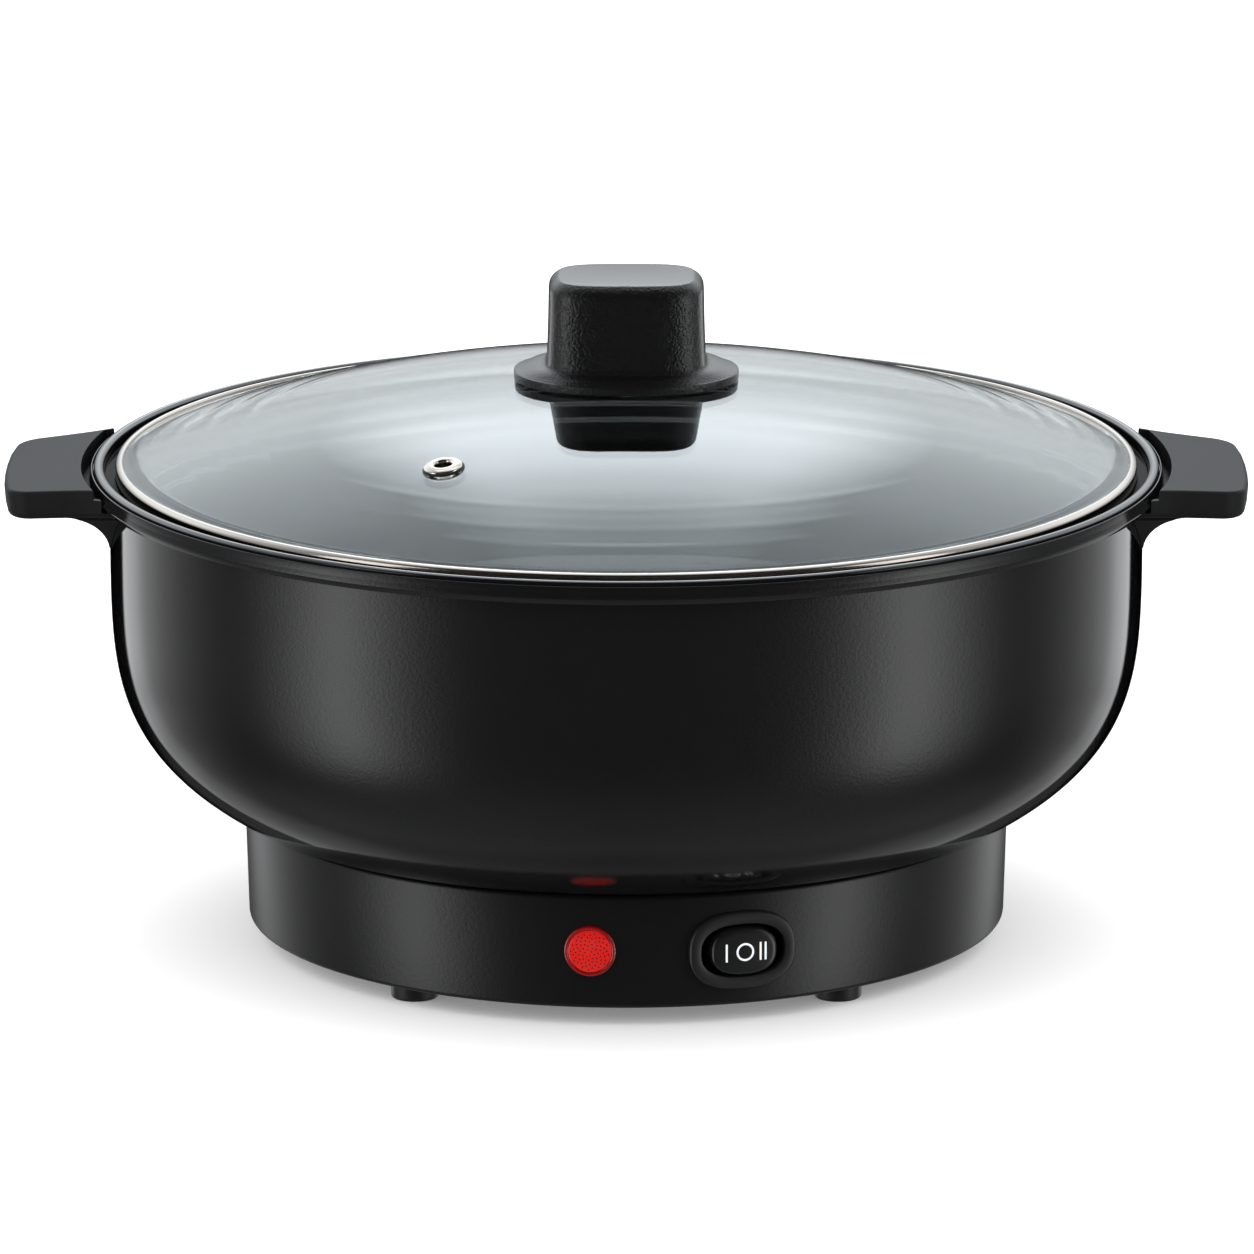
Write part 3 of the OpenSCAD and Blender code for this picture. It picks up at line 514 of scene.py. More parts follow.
def satin_plastic(name, colour, roughness, grazing, grain, depth_mm, specular, worn=1.0):
    """`roughness` is face on, `grazing` is along the surface, `grain` per metre, `worn` its edges."""
    tree, shader, position = start_material(
        name, colour, **{"Specular IOR Level": specular, "IOR": 1.5})
    texture = use_group(tree, GRAIN, position, Grains_per_metre=grain)
    cloud = use_group(tree, CLOUD, position, Size=0.05)
    edge = use_group(tree, EDGE, Sharpness=9.0 * worn)
    facing = new_node(tree, "ShaderNodeLayerWeight")
    facing.inputs["Blend"].default_value = 0.5
    facing = facing.outputs["Facing"]
    rough = ramp(tree, facing, [(FACE_ON, roughness), (ALONG, grazing)], smooth=False)
    uneven = maths(tree, "MULTIPLY_ADD", cloud["Cloud"], 0.03, -0.015)
    rough = maths(tree, "ADD", rough, uneven)
    rough = maths(tree, "SUBTRACT", rough, maths(tree, "MULTIPLY", edge["Mask"], 0.08), clamp=True)
    plug(tree, rough, shader.inputs["Roughness"])
    pale = opaque(c * MOTTLE_TONE for c in colour)
    body = mix_colour(tree, texture["Mottle"], opaque(colour), pale)
    rubbed = mix_colour(tree, maths(tree, "MULTIPLY", edge["Mask"], 0.5), body, pale)
    plug(tree, rubbed, shader.inputs["Base Color"])
    relief = ramp(tree, facing, [(FACE_ON, 1.0), (ALONG, 0.15)], smooth=False)
    bump(tree, shader, texture["Height"], depth_mm, relief)


satin_plastic("bowl_plastic", (0.0028, 0.0028, 0.0030), 0.29, 0.05, 1250, 0.030, 0.33)
satin_plastic("base_plastic", (0.0028, 0.0028, 0.0030), 0.34, 0.34, 1250, 0.030, 0.30)
satin_plastic("handle_plastic", (0.0042, 0.0043, 0.0047), 0.60, 0.52, 1300, 0.07, 0.14, worn=0.0)
satin_plastic("knob_plastic", (0.0018, 0.0018, 0.0020), 0.33, 0.26, 1500, 0.24, 0.40)
satin_plastic("switch_plastic", (0.0060, 0.0060, 0.0064), 0.42, 0.20, 2200, 0.010, 0.40)
satin_plastic("rocker_plastic", (0.0045, 0.0045, 0.0050), 0.30, 0.10, 2600, 0.004, 0.40)
satin_plastic("seal_rubber", (0.0060, 0.0060, 0.0060), 0.55, 0.35, 1600, 0.02, 0.30)
print("plastics:", sorted(FINISHES))


# %% [markdown]
# ## The pot's coating
#
# A non-stick coating is a thin glossy lacquer with a few specks in it, on metal that never shows. So it
# is made as a plastic with a high index of refraction. Deep in the gap beside the lid's ring the real
# one catches no light, while the cards of this studio would still find it. There the index falls
# almost to that of air, which takes the shine away.

# %% Coating
def coated_metal(name, colour, roughness, painted_shade_from, painted_shade_to):
    """A glossy coating. Between two heights in mm, in the ledge's gap, its reflection is taken away as
    painted shade.
    """
    tree, shader, position = start_material(name, colour)
    parts = new_node(tree, "ShaderNodeSeparateXYZ")
    plug(tree, position, parts.inputs[0])
    from_middle = maths(tree, "SUBTRACT", maths(tree, "MULTIPLY", parts.outputs["Z"], 1 / MM),
                        (painted_shade_from + painted_shade_to) / 2)
    outside = maths(tree, "SUBTRACT", maths(tree, "ABSOLUTE", from_middle), (painted_shade_to - painted_shade_from) / 2)
    shine = maths(tree, "MULTIPLY", outside, 3.0, clamp=True)
    plug(tree, maths(tree, "MULTIPLY_ADD", shine, 0.85, 1.04), shader.inputs["IOR"])
    cloud = use_group(tree, CLOUD, position, Size=0.012)
    rough = maths(tree, "MULTIPLY_ADD", cloud["Cloud"], 0.04, roughness - 0.02)
    plug(tree, rough, shader.inputs["Roughness"])
    specks = maths(tree, "MULTIPLY", cloud["Specks"], 0.5)
    speckled = mix_colour(tree, specks, opaque(colour), (0.05, 0.05, 0.055, 1))
    plug(tree, speckled, shader.inputs["Base Color"])
    bump(tree, shader, cloud["Cloud"], 0.006, 0.5)


# Between these two heights the coating's reflection is taken away: painted shade in the gap beside the
# lid's ring.
coated_metal("pot_coating", (0.0030, 0.0030, 0.0034), 0.07, ring_z - 4, rim_z - 0.9)
print("coating dull from", round(ring_z - 4, 1), "to", round(rim_z - 0.9, 1), "mm")


# %% [markdown]
# ## Metals
#
# The lid's ring, the vent and the cast plate carry fine lines that run round the pot's axis and stretch
# their highlights. Sheet and screws are plated, which leaves a mottled skin of two close tones. Both
# kinds are fully metallic, and only their roughness, colour and fine relief change over the surface.

# %% Turned and plated metal
STREAK_SPREAD = 0.14


def turned_metal(name, colour, roughness, lines, depth_mm):
    """Metal that was turned or polished on a wheel about the pot's axis, with `lines` per metre."""
    tree, shader, position = start_material(name, colour, metallic=1.0)
    line = use_group(tree, TURNED, position, Lines_per_metre=lines)
    cloud = use_group(tree, CLOUD, position, Size=0.02)
    edge = use_group(tree, EDGE, Sharpness=8.0)
    streaks = maths(tree, "MULTIPLY_ADD", line["Streak"], STREAK_SPREAD, roughness - STREAK_SPREAD / 2)
    uneven = maths(tree, "MULTIPLY_ADD", cloud["Cloud"], 0.1, -0.05)
    plug(tree, maths(tree, "ADD", streaks, uneven, clamp=True), shader.inputs["Roughness"])
    bright = opaque(min(1.0, c * 1.12) for c in colour)
    plug(tree, mix_colour(tree, edge["Mask"], opaque(colour), bright), shader.inputs["Base Color"])
    bump(tree, shader, line["Height"], depth_mm, 0.6)


def plated_metal(name, colour, roughness, second):
    """Plated or aluminised sheet and screws: a mottled skin of two close tones."""
    tree, shader, position = start_material(name, colour, metallic=1.0)
    spangle = new_node(tree, "ShaderNodeTexVoronoi", feature="F1")
    plug(tree, position, spangle.inputs["Vector"])
    spangle.inputs["Scale"].default_value = 260.0
    tone = ramp(tree, spangle.outputs["Color"], [(0.2, 0.0), (0.8, 1.0)])
    cloud = use_group(tree, CLOUD, position, Size=0.015)
    plug(tree, mix_colour(tree, tone, opaque(colour), opaque(second)), shader.inputs["Base Color"])
    rough = maths(tree, "MULTIPLY_ADD", cloud["Cloud"], 0.2, roughness - 0.1)
    plug(tree, rough, shader.inputs["Roughness"])
    bump(tree, shader, cloud["Cloud"], 0.02, 0.4)


turned_metal("ring_steel", (0.52, 0.475, 0.435), 0.14, 2200, 0.004)
turned_metal("vent_steel", (0.62, 0.575, 0.52), 0.12, 3000, 0.003)
print("finishes so far:", len(FINISHES))


# %% [markdown]
# ## Glass, lens and printed marks
#
# The lid is toughened soda glass, faintly blue and not quite flat. Its own colour is nearly white, and
# a slow bump bends the reflections a little. The lamp's cap is clear red plastic. If it let all light
# through, the dark inside of the base would make it black, so only a third is transmitted.

# %% Glass, lens and printed marks
def clear_glass():
    tree, shader, position = start_material(
        "lid_glass", (0.90, 0.965, 0.975), **{"Transmission Weight": 1.0, "IOR": 1.5, "Roughness": 0.0,
                                              "Specular Tint": (0.82, 0.94, 1.0, 1)})
    bump(tree, shader, noise(tree, position, 9.0, 1.0), 0.04, 0.3)


def red_lens(name, colour, roughness, transmission):
    tree, shader, position = start_material(
        name, colour, **{"Transmission Weight": transmission, "IOR": 1.49, "Coat Weight": 0.6,
                         "Coat Roughness": 0.04})
    cloud = use_group(tree, CLOUD, position, Size=0.004)
    rough = maths(tree, "MULTIPLY_ADD", cloud["Cloud"], 0.08, roughness - 0.04)
    plug(tree, rough, shader.inputs["Roughness"])


def printed_white():
    tree, shader, position = start_material("mark_white", (0.80, 0.84, 0.88), Roughness=0.45)
    cloud = use_group(tree, CLOUD, position, Size=0.002)
    ink = mix_colour(tree, cloud["Cloud"], (0.74, 0.78, 0.82, 1), (0.88, 0.92, 0.96, 1))
    plug(tree, ink, shader.inputs["Base Color"])


clear_glass()
red_lens("lens_red", (0.80, 0.010, 0.006), 0.14, 0.35)
red_lens("bezel_red", (0.24, 0.003, 0.003), 0.10, 0.30)
# The prisms' very dark, opaque red is painted shade: the dark between the dots of light that clear prisms
# make.
red_lens("prism_painted_shade_red", (0.09, 0.001, 0.001), 0.12, 0.0)
printed_white()
print("finishes so far:", len(FINISHES))

# %% [markdown]
# ## Making a piece
#
# Most of the pot is turned, and the rest is stacked or cut. `spun` turns an outline about the Z axis:
# it takes the corners of the cut face and rounds each where asked, so the outline stays as short as a
# drawing's. `rod` is the plainest spun piece, a round bar, which also drills the holes.

# %% Spun pieces
RING_STEPS = 256


def spun(profile, steps=RING_STEPS, place=None):
    """A solid of revolution. Rows are (radius, height) or (radius, height, rounding), in mm."""
    bm = bmesh.new()
    corners = [bm.verts.new((row[0] * MM, 0, row[1] * MM)) for row in profile]
    for k, corner in enumerate(corners):
        following = (k + 1) % len(corners)
        if profile[k][0] > 0 or profile[following][0] > 0:
            bm.edges.new((corner, corners[following]))
    for corner, row in zip(corners, profile):
        if len(row) == 3:
            round_corner(bm, corner, row[2])
    bmesh.ops.spin(bm, geom=list(bm.verts) + list(bm.edges), cent=(0, 0, 0), axis=(0, 0, 1),
                   dvec=(0, 0, 0), angle=math.tau, steps=steps, use_merge=True, use_duplicate=False)
    return closed(bm, place)


def round_corner(bm, corner, rounding):
    segments = max(3, min(12, round(rounding * 3)))
    bmesh.ops.bevel(bm, geom=[corner], offset=rounding * MM, offset_type="OFFSET", segments=segments,
                    profile=0.5, affect="VERTICES", material=-1)


def closed(bm, place=None):
    """Merges doubles, points the faces outwards and moves the mesh to its place."""
    bmesh.ops.remove_doubles(bm, verts=bm.verts, dist=1e-7)
    bmesh.ops.recalc_face_normals(bm, faces=bm.faces)
    if place is not None:
        bmesh.ops.transform(bm, matrix=place, verts=bm.verts)
    return bm


def rod(radius, z0, z1, steps=32, place=None):
    """A round bar between two heights."""
    return spun([(0, z0), (radius, z0), (radius, z1), (0, z1)], steps, place)


def at(x, y):
    return Matrix.Translation((x * MM, y * MM, 0))


# %% [markdown]
# ## Stacked and flat pieces
#
# The knob, the rocker and the switch's frame are neither round nor square. `loft` bridges a stack of
# ovals, each a circle that was pressed towards a rectangle by its own power. Two loops in one plane can
# be bridged with a twist, so each loop lies a hair above the one before. `plate` pulls a flat outline
# to a height.

# %% Lofts and plates
LOOP_LIFT = 0.003


def oval_point(angle, width, depth, power):
    """A point of an oval that goes from an ellipse (power 2) towards a rectangle."""
    c, s = math.cos(angle), math.sin(angle)
    x = math.copysign(abs(c) ** (2 / power), c) * width / 2
    y = math.copysign(abs(s) ** (2 / power), s) * depth / 2
    return x, y


def oval_ring(bm, z, width, depth, power, segments):
    """A closed loop of edges: a circle drawn by its operator, then pressed into an oval."""
    made = bmesh.ops.create_circle(bm, cap_ends=False, radius=1.0, segments=segments)["verts"]
    for vert in made:
        x, y = oval_point(math.atan2(vert.co.y, vert.co.x) + math.pi / segments, width, depth, power)
        vert.co = (x, y, z)
    return list({edge for vert in made for edge in vert.link_edges})


def loft(rings, segments=160, place=None, tunnel=False):
    """A solid through ovals (z, width, depth, power). A tunnel joins the last ring to the first."""
    bm = bmesh.new()
    loops = [oval_ring(bm, z + LOOP_LIFT * k, *size, segments) for k, (z, *size) in enumerate(rings)]
    for lower, upper in zip(loops, loops[1:]):
        bmesh.ops.bridge_loops(bm, edges=lower + upper)
    if tunnel:
        bmesh.ops.bridge_loops(bm, edges=loops[-1] + loops[0])
    else:
        bmesh.ops.holes_fill(bm, edges=[e for e in bm.edges if e.is_boundary], sides=0)
    bmesh.ops.scale(bm, vec=(MM, MM, MM), verts=bm.verts)
    return closed(bm, place)


def oval_bar(z0, z1, size, segments=160, place=None):
    return loft([(z0, *size), (z1, *size)], segments, place)


def plate(corners, height, plane="XY", start=0.0):
    """A flat outline of (across, along) or (across, along, rounding) rows, pulled to a height."""
    bm = bmesh.new()
    verts = [bm.verts.new((row[0] * MM, row[1] * MM, start * MM)) for row in corners]
    for k, vert in enumerate(verts):
        bm.edges.new((vert, verts[(k + 1) % len(verts)]))
    for vert, row in zip(verts, corners):
        if len(row) == 3:
            round_corner(bm, vert, row[2])
    face = bmesh.ops.contextual_create(bm, geom=bm.edges)["faces"]
    pulled = bmesh.ops.extrude_face_region(bm, geom=face)["geom"]
    moved = [item for item in pulled if isinstance(item, bmesh.types.BMVert)]
    bmesh.ops.translate(bm, vec=(0, 0, height * MM), verts=moved)
    turns = {"XY": Matrix.Identity(4), "XZ": Matrix.Rotation(math.pi / 2, 4, "X"),
             "YZ": Matrix.Rotation(math.pi / 2, 4, "Z") @ Matrix.Rotation(math.pi / 2, 4, "X")}
    return closed(bm, turns[plane])


# %% [markdown]
# ## Cutting, joining and finishing
#
# Holes and joins are Boolean modifiers, applied at once so that the next step sees their result.
# `finish_piece` turns a bmesh into an object that rides on its CAD body, stands for its CAD nodes and
# has smooth faces with the real corners kept sharp.

# %% Cuts, joins and the last step of each piece
def to_object(bm, name):
    mesh = bpy.data.meshes.new(name)
    bm.to_mesh(mesh)
    bm.free()
    made = bpy.data.objects.new(name, mesh)
    bpy.context.scene.collection.objects.link(made)
    return made


def cut_with(target, operation, *tools):
    """Boolean with one or more bmesh tools, applied at once."""
    for tool in tools:
        cutter = to_object(tool, "cutter")
        modifier = target.modifiers.new("cut", "BOOLEAN")
        modifier.operation = operation
        modifier.solver = "EXACT"
        modifier.object = cutter
        apply_modifiers(target)
        bpy.data.objects.remove(cutter)
    return target


def as_bmesh(source):
    bm = bmesh.new()
    bm.from_mesh(source.data)
    return bm


def add_to(target, part):
    """Adds the faces of one bmesh to another."""
    carrier = to_object(part, "carrier")
    target.from_mesh(carrier.data)
    bpy.data.objects.remove(carrier)


def apply_modifiers(target):
    bpy.context.view_layer.update()
    evaluated = target.evaluated_get(bpy.context.evaluated_depsgraph_get())
    fresh = bpy.data.meshes.new_from_object(evaluated)
    old = target.data
    target.modifiers.clear()
    target.data = fresh
    fresh.name = old.name
    bpy.data.meshes.remove(old)


def soften(target, width_mm, segments, angle=35):
    """Rounds every edge sharper than the angle, as any moulded edge is."""
    modifier = target.modifiers.new("soft_edges", "BEVEL")
    modifier.width = width_mm * MM
    modifier.segments = segments
    modifier.limit_method = "ANGLE"
    modifier.angle_limit = math.radians(angle)
    modifier.use_clamp_overlap = True
    modifier.miter_outer = "MITER_ARC"
    apply_modifiers(target)


def finish_piece(made, name, body, replaced, slot, finish=None, sharp=38):
    """Names a bmesh or an object, rides it on its body and hides the nodes it stands for.

    The finish is the one named like the slot, unless another is asked for.
    """
    if isinstance(made, bmesh.types.BMesh):
        made = to_object(made, name)
    made.name = name
    mesh = made.data
    mesh.materials.clear()
    mesh.materials.append(FINISHES[finish or slot])
    mesh.shade_smooth()
    mesh.set_sharp_from_angle(angle=math.radians(sharp))
    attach(made, body)
    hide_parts(*replaced)
    print(f"{name}: {len(mesh.polygons)} faces, {made.dimensions.x / MM:.1f} mm wide")
    return made


# %% [markdown]
# ## The bowl
#
# The housing is one deep moulding: an upright wall that sweeps in under the pot to a flat bottom, and
# a collar that takes in the pot's rim. The wall's radius falls with a high power of the depth, so it
# stays upright for a long way and then turns in faster and faster. A formula gives its points, and
# spinning them gives a wall without flat spots. A narrow groove above the base makes a shadow line.

# %% Bowl
BOWL_SWEEP = 68.4
BOWL_TOP_Z = 129.2
BOWL_DEPTH = 102.0
BOWL_POWER = 4.6
WALL_R = 151.8
WALL_T = 2.4
MOUTH_R = 79.0
GROOVE_R = 109.5
GROOVE_Z = bowl_z + 0.9
EDGE_IN = 1.4
COLLAR_Z = rim_z - 6.6
SHELF_Z = COLLAR_Z + 1.2
REBATE_Z = rim_z - 2.3
BOSS_R = 3.6
BOSS_HOLE_R = 1.65
OUTER_BOSSES_R = 105
INNER_BOSSES_R = 86


def bowl_r(z, inset=0.0):
    """Radius of the bowl at a height, for a skin lying `inset` inside the outer one."""
    drop = max(0.0, BOWL_TOP_Z + 0.6 * inset - z) / BOWL_DEPTH
    return WALL_R - inset - BOWL_SWEEP * drop ** BOWL_POWER


def bowl_curve(z0, z1, inset, count):
    heights = [z0 + (z1 - z0) * (k / count) ** 1.8 for k in range(count + 1)]
    return [(bowl_r(z, inset), z) for z in heights]


def bowl_profile():
    outer = bowl_curve(GROOVE_Z + EDGE_IN / 2, COLLAR_Z, 0.0, 46)
    inner = bowl_curve(bowl_z + WALL_T, SHELF_Z, WALL_T, 30)
    edge = [(GROOVE_R, bowl_z, 0.2), (GROOVE_R, GROOVE_Z), (bowl_r(GROOVE_Z) - EDGE_IN, GROOVE_Z, 0.25)]
    inside_r, rebate_r = collar_r - 1.9, rim_r + 0.4
    collar = [(collar_r - 1.0, COLLAR_Z, 0.25), (collar_r, COLLAR_Z + 1.8, 0.2),
              (collar_r - 0.35, COLLAR_Z + 3.2, 0.2), (collar_r - 0.62, collar_top, 0.2),
              (rebate_r, collar_top, 0.1), (rebate_r, REBATE_Z, 0.2),
              (inside_r, REBATE_Z, 0.3), (inside_r, SHELF_Z, 0.5)]
    return [(MOUTH_R, bowl_z)] + edge + outer + collar + inner[::-1] + [(MOUTH_R, bowl_z + WALL_T)]


def ring_places(count, radius, start):
    turns = [math.radians(start + 360 * k / count) for k in range(count)]
    return [(radius * math.cos(a), radius * math.sin(a)) for a in turns]


BOSS_PLACES = ring_places(6, OUTER_BOSSES_R, 30) + ring_places(4, INNER_BOSSES_R, 45)
bowl = to_object(spun(bowl_profile()), "bowl")
for x, y in BOSS_PLACES:
    cut_with(bowl, "UNION", rod(BOSS_R, bowl_z + 1, bowl_z + 6.1, place=at(x, y)))
for x, y in BOSS_PLACES:
    cut_with(bowl, "DIFFERENCE", rod(BOSS_HOLE_R, bowl_z - 1, bowl_z + 5, 24, at(x, y)))
finish_piece(bowl, "bowl", "housing", ["outer_shell"], "bowl_plastic")

# %% [markdown]
# ## The base
#
# The drum under the bowl has almost upright walls: a mould needs a little draft to let go of it. A
# cylinder would have to be tapered afterwards, while a spun outline has the draft in it. Openings for
# the lamp, the switch and the cord outlet go through the wall, so those are cut after it is spun.
# Inside it has four pillars for the screws of the feet.

# %% Base
BASE_DRAFT = 1.0
LAMP_TURN = -5.3
LAMP_Z = 23.2
SWITCH_TURN = 17.2
SWITCH_Z = 22.4
GLAND_Z = 21.0
FOOT_X = 61.3
FOOT_Y = 77.3
PILLAR_R = 5.0
FOOT_SCREW_R = 1.85
LAMP_HOLE_R = 5.8
GLAND_HOLE_R = 7.8
SWITCH_HOLE = (27.8, 19.6, 2.5)
NECK_R = 101
control_r = base_r - BASE_DRAFT / 2
low_r = base_r - BASE_DRAFT
floor_z = seam_z - WALL_T
cover_top = skirt_bottom + 3


def on_skirt(turn, z):
    """Place on the base's wall: +Z points out of the wall and +Y up."""
    return (Matrix.Rotation(math.radians(turn), 4, "Z") @ Matrix.Translation((0, -control_r * MM, z * MM))
            @ Matrix.Rotation(math.pi / 2, 4, "X"))


def base_profile():
    return [(low_r - WALL_T, skirt_bottom, 0.3), (low_r, skirt_bottom, 1.4), (base_r, seam_z, 1.3),
            (NECK_R, seam_z, 0.3), (NECK_R, floor_z), (base_r - WALL_T, floor_z, 0.5)]


def foot_places():
    return [(x, y) for x in (-FOOT_X, FOOT_X) for y in (-FOOT_Y, FOOT_Y)]


base = to_object(spun(base_profile()), "base")
for x, y in foot_places():
    cut_with(base, "UNION", rod(PILLAR_R, cover_top, floor_z + 0.2, place=at(x, y)))
for x, y in foot_places():
    cut_with(base, "DIFFERENCE", rod(FOOT_SCREW_R, cover_top - 1, cover_top + 14, 24, at(x, y)))
cut_with(base, "DIFFERENCE",
         rod(LAMP_HOLE_R, -10, 10, 64, on_skirt(LAMP_TURN, LAMP_Z)),
         oval_bar(-10, 10, SWITCH_HOLE, 96, on_skirt(SWITCH_TURN, SWITCH_Z)),
         rod(GLAND_HOLE_R, -10, 10, 64, on_skirt(180, GLAND_Z)))
finish_piece(base, "base", "housing", ["base_skirt"], "base_plastic")

# %% [markdown]
# ## The inner pot
#
# A pressed pot with a non-stick coating. Its wall widens in three small steps under the ledge that
# carries the lid, and its edge is rolled over into a round, shiny rim. One spun outline makes all of
# it. The steps are a loop, which runs up the inside and back down the outside, so the sheet keeps its
# thickness.

# %% Inner pot
POT_T = 1.8
POT_R = 143.6
POT_CORNER = 42.0
RIM_W = 3.2
RIM_T = 1.8
STEP_W = 1.5
ledge_z = rim_z - 3.7


def arc(cx, cz, radius, start, end, count):
    turns = [math.radians(start + (end - start) * k / count) for k in range(count + 1)]
    return [(cx + radius * math.cos(a), cz + radius * math.sin(a)) for a in turns]


def pot_profile():
    inside = POT_R - POT_T
    step_zs = [ledge_z - 16 + 5 * k for k in range(3)]
    rim_in = rim_r - RIM_W
    corner = (POT_R - POT_CORNER, pot_z + POT_CORNER)
    rows = [(0, pot_z + POT_T)] + arc(*corner, POT_CORNER - POT_T, -90, 0, 20)
    for k, z in enumerate(step_zs):
        rows += [(inside + k * STEP_W, z, 0.4), (inside + (k + 1) * STEP_W, z + STEP_W / 2, 0.4)]
    wall_top = POT_R + 3 * STEP_W
    rows += [(wall_top - POT_T, ledge_z - 0.6), (wall_top - POT_T + 0.6, ledge_z, 0.3)]
    rows += [(rim_in, ledge_z, 0.4)]
    rows += [(rim_in, rim_z, 1.7), (rim_r, rim_z, 1.4), (rim_r, rim_z - RIM_T, 0.3)]
    rows += [(rim_in + 1.5, rim_z - RIM_T), (rim_in + 1.5, ledge_z - 1.5, 0.8), (wall_top, ledge_z - 1.5)]
    for k, z in reversed(list(enumerate(step_zs))):
        rows += [(POT_R + (k + 1) * STEP_W, z - 0.2, 0.4), (POT_R + k * STEP_W, z - 0.2 - STEP_W / 2, 0.4)]
    return rows + arc(*corner, POT_CORNER, 0, -90, 20) + [(0, pot_z)]


finish_piece(spun(pot_profile()), "pot", "pot", ["inner_pot"], "pot_coating")

# %% [markdown]
# ## The lid
#
# The lid is a shallow dome of 4 mm glass. It is a slice of a sphere, so its outline is two arcs. The
# steel ring is a strip rolled round the edge like a flattened letter C, and the steam vent and the
# screw of the knob pass through drilled holes.

# %% Lid glass
GLASS_T = 4.0
RING_T = 0.55
RING_H = 4.4
RING_PLAY = 0.15
VENT_HOLE_R = 3.5
KNOB_HOLE_R = 3.4
TEMPER_RINGS = (112, 124, 133)
TEMPER_RISE = 0.035
TEMPER_WIDTH = 1.8
glass_r = lid_r - RING_T - RING_PLAY
glass_edge_top = ring_z + RING_H - RING_T - RING_PLAY
glass_edge_low = ring_z + RING_T + 0.1
dome_a = lid_r - 3.4
dome_h = crown_z - glass_edge_top
dome_r = (dome_a ** 2 + dome_h ** 2) / (2 * dome_h)
dome_z = crown_z - dome_r
VENT = Vector((-52.4, -78.5))


def on_dome(radius, angle):
    """Place on the glass: +Z points out of the dome."""
    return (Matrix.Translation((0, 0, dome_z * MM)) @ Matrix.Rotation(angle, 4, "Z")
            @ Matrix.Rotation(math.asin(radius / dome_r), 4, "Y") @ Matrix.Translation((0, 0, dome_r * MM)))


def temper_rings(row):
    """Tempering leaves faint rings on the dome: a rise of a few hundredths of a millimetre."""
    radius, z = row
    rise = sum(TEMPER_RISE * math.exp(-((radius - ring) / TEMPER_WIDTH) ** 2) for ring in TEMPER_RINGS)
    return radius, z + rise


def glass_profile():
    inner_r = dome_r - GLASS_T
    inner_a = math.sqrt(inner_r ** 2 - (glass_edge_low - dome_z) ** 2)
    rim_angle = math.degrees(math.acos(dome_a / dome_r))
    inner_angle = math.degrees(math.acos(inner_a / inner_r))
    outer = arc(0, dome_z, dome_r, rim_angle, 90, 130)
    rows = [(glass_r, glass_edge_low, 0.8), (glass_r, glass_edge_top, 0.8)]
    rows += [temper_rings(row) for row in outer[:-1]] + [(0, crown_z)]
    rows += [(0, crown_z - GLASS_T)] + arc(0, dome_z, inner_r, 90, inner_angle, 40)[1:]
    return rows


vent_place = on_dome(VENT.length, math.atan2(VENT.y, VENT.x))
glass = to_object(spun(glass_profile()), "glass")
cut_with(glass, "DIFFERENCE", rod(VENT_HOLE_R, -8, 4, 48, vent_place),
         rod(KNOB_HOLE_R, crown_z - 8, crown_z + 4, 48))
finish_piece(glass, "lid_dome", "lid", ["lid_glass"], "lid_glass", sharp=50)

# %% Lid ring
RING_IN = 5
ring_rows = [
    (lid_r - RING_IN, ring_z, 0.25), (lid_r, ring_z, 0.5), (lid_r, ring_top, 1.7),
    (lid_r - 2.2, ring_top, 0.5), (lid_r - 2.5, ring_top - 0.9, 0.15), (lid_r - 2.0, ring_top - 0.9, 0.1),
    (lid_r - 1.7, ring_top - RING_T, 0.2),
    (lid_r - RING_T, ring_top - RING_T, 0.9), (lid_r - RING_T, ring_z + RING_T, 0.3),
    (lid_r - RING_IN, ring_z + RING_T, 0.2)]
finish_piece(spun(ring_rows), "rolled_ring", "lid", ["lid_ring"], "ring_steel")

# %% [markdown]
# ## The steam vent
#
# A pressed steel eyelet, clinched through the glass over a dark washer. Both are turned about the
# glass's own normal, so they sit flat on the dome.

# %% Vent
VENT_BORE_R = 2.45
VENT_TUBE_R = 3.3
VENT_CLINCH_R = 5
VENT_FLANGE_R = 5.75
VENT_FLANGE_Z = 0.65
VENT_TOP = 1.75
vent_rows = [
    (VENT_BORE_R, -4.85), (VENT_CLINCH_R, -4.85, 0.25), (VENT_CLINCH_R, -4.25, 0.2), (VENT_TUBE_R, -4.25),
    (VENT_TUBE_R, VENT_FLANGE_Z), (VENT_FLANGE_R, VENT_FLANGE_Z, 0.2), (VENT_FLANGE_R, 1.1, 0.3),
    (4.4, VENT_TOP, 0.7), (3.0, VENT_TOP, 0.5), (VENT_BORE_R, 1.2, 0.3)]
finish_piece(spun(vent_rows, 96, vent_place), "vent", "lid", ["vent_eyelet"], "ring_steel", "vent_steel")
WASHER_R = 6.1
WASHER_Z = 0.04
washer_top = VENT_FLANGE_Z - 0.01
vent_washer_rows = [(3.4, WASHER_Z), (WASHER_R, WASHER_Z, 0.15), (WASHER_R, washer_top, 0.25),
                    (3.4, washer_top)]
finish_piece(spun(vent_washer_rows, 96, vent_place), "vent_gasket", "lid", ["vent_washer"], "seal_rubber")

# %% [markdown]
# ## The knob
#
# The knob is an upright block with rounded corners on a wide oval brim. A bevelled box on a flattened
# cylinder would leave a seam where they meet, so the whole knob is one stack of ovals. Each level has
# its own power, which turns the brim's ellipse into the block's soft rectangle, and the levels are
# close where an edge is rounded. The brim's lowest levels are then dropped towards the dome, to 0.3 mm
# above the glass. A pocket under the brim holds a rubber cushion.

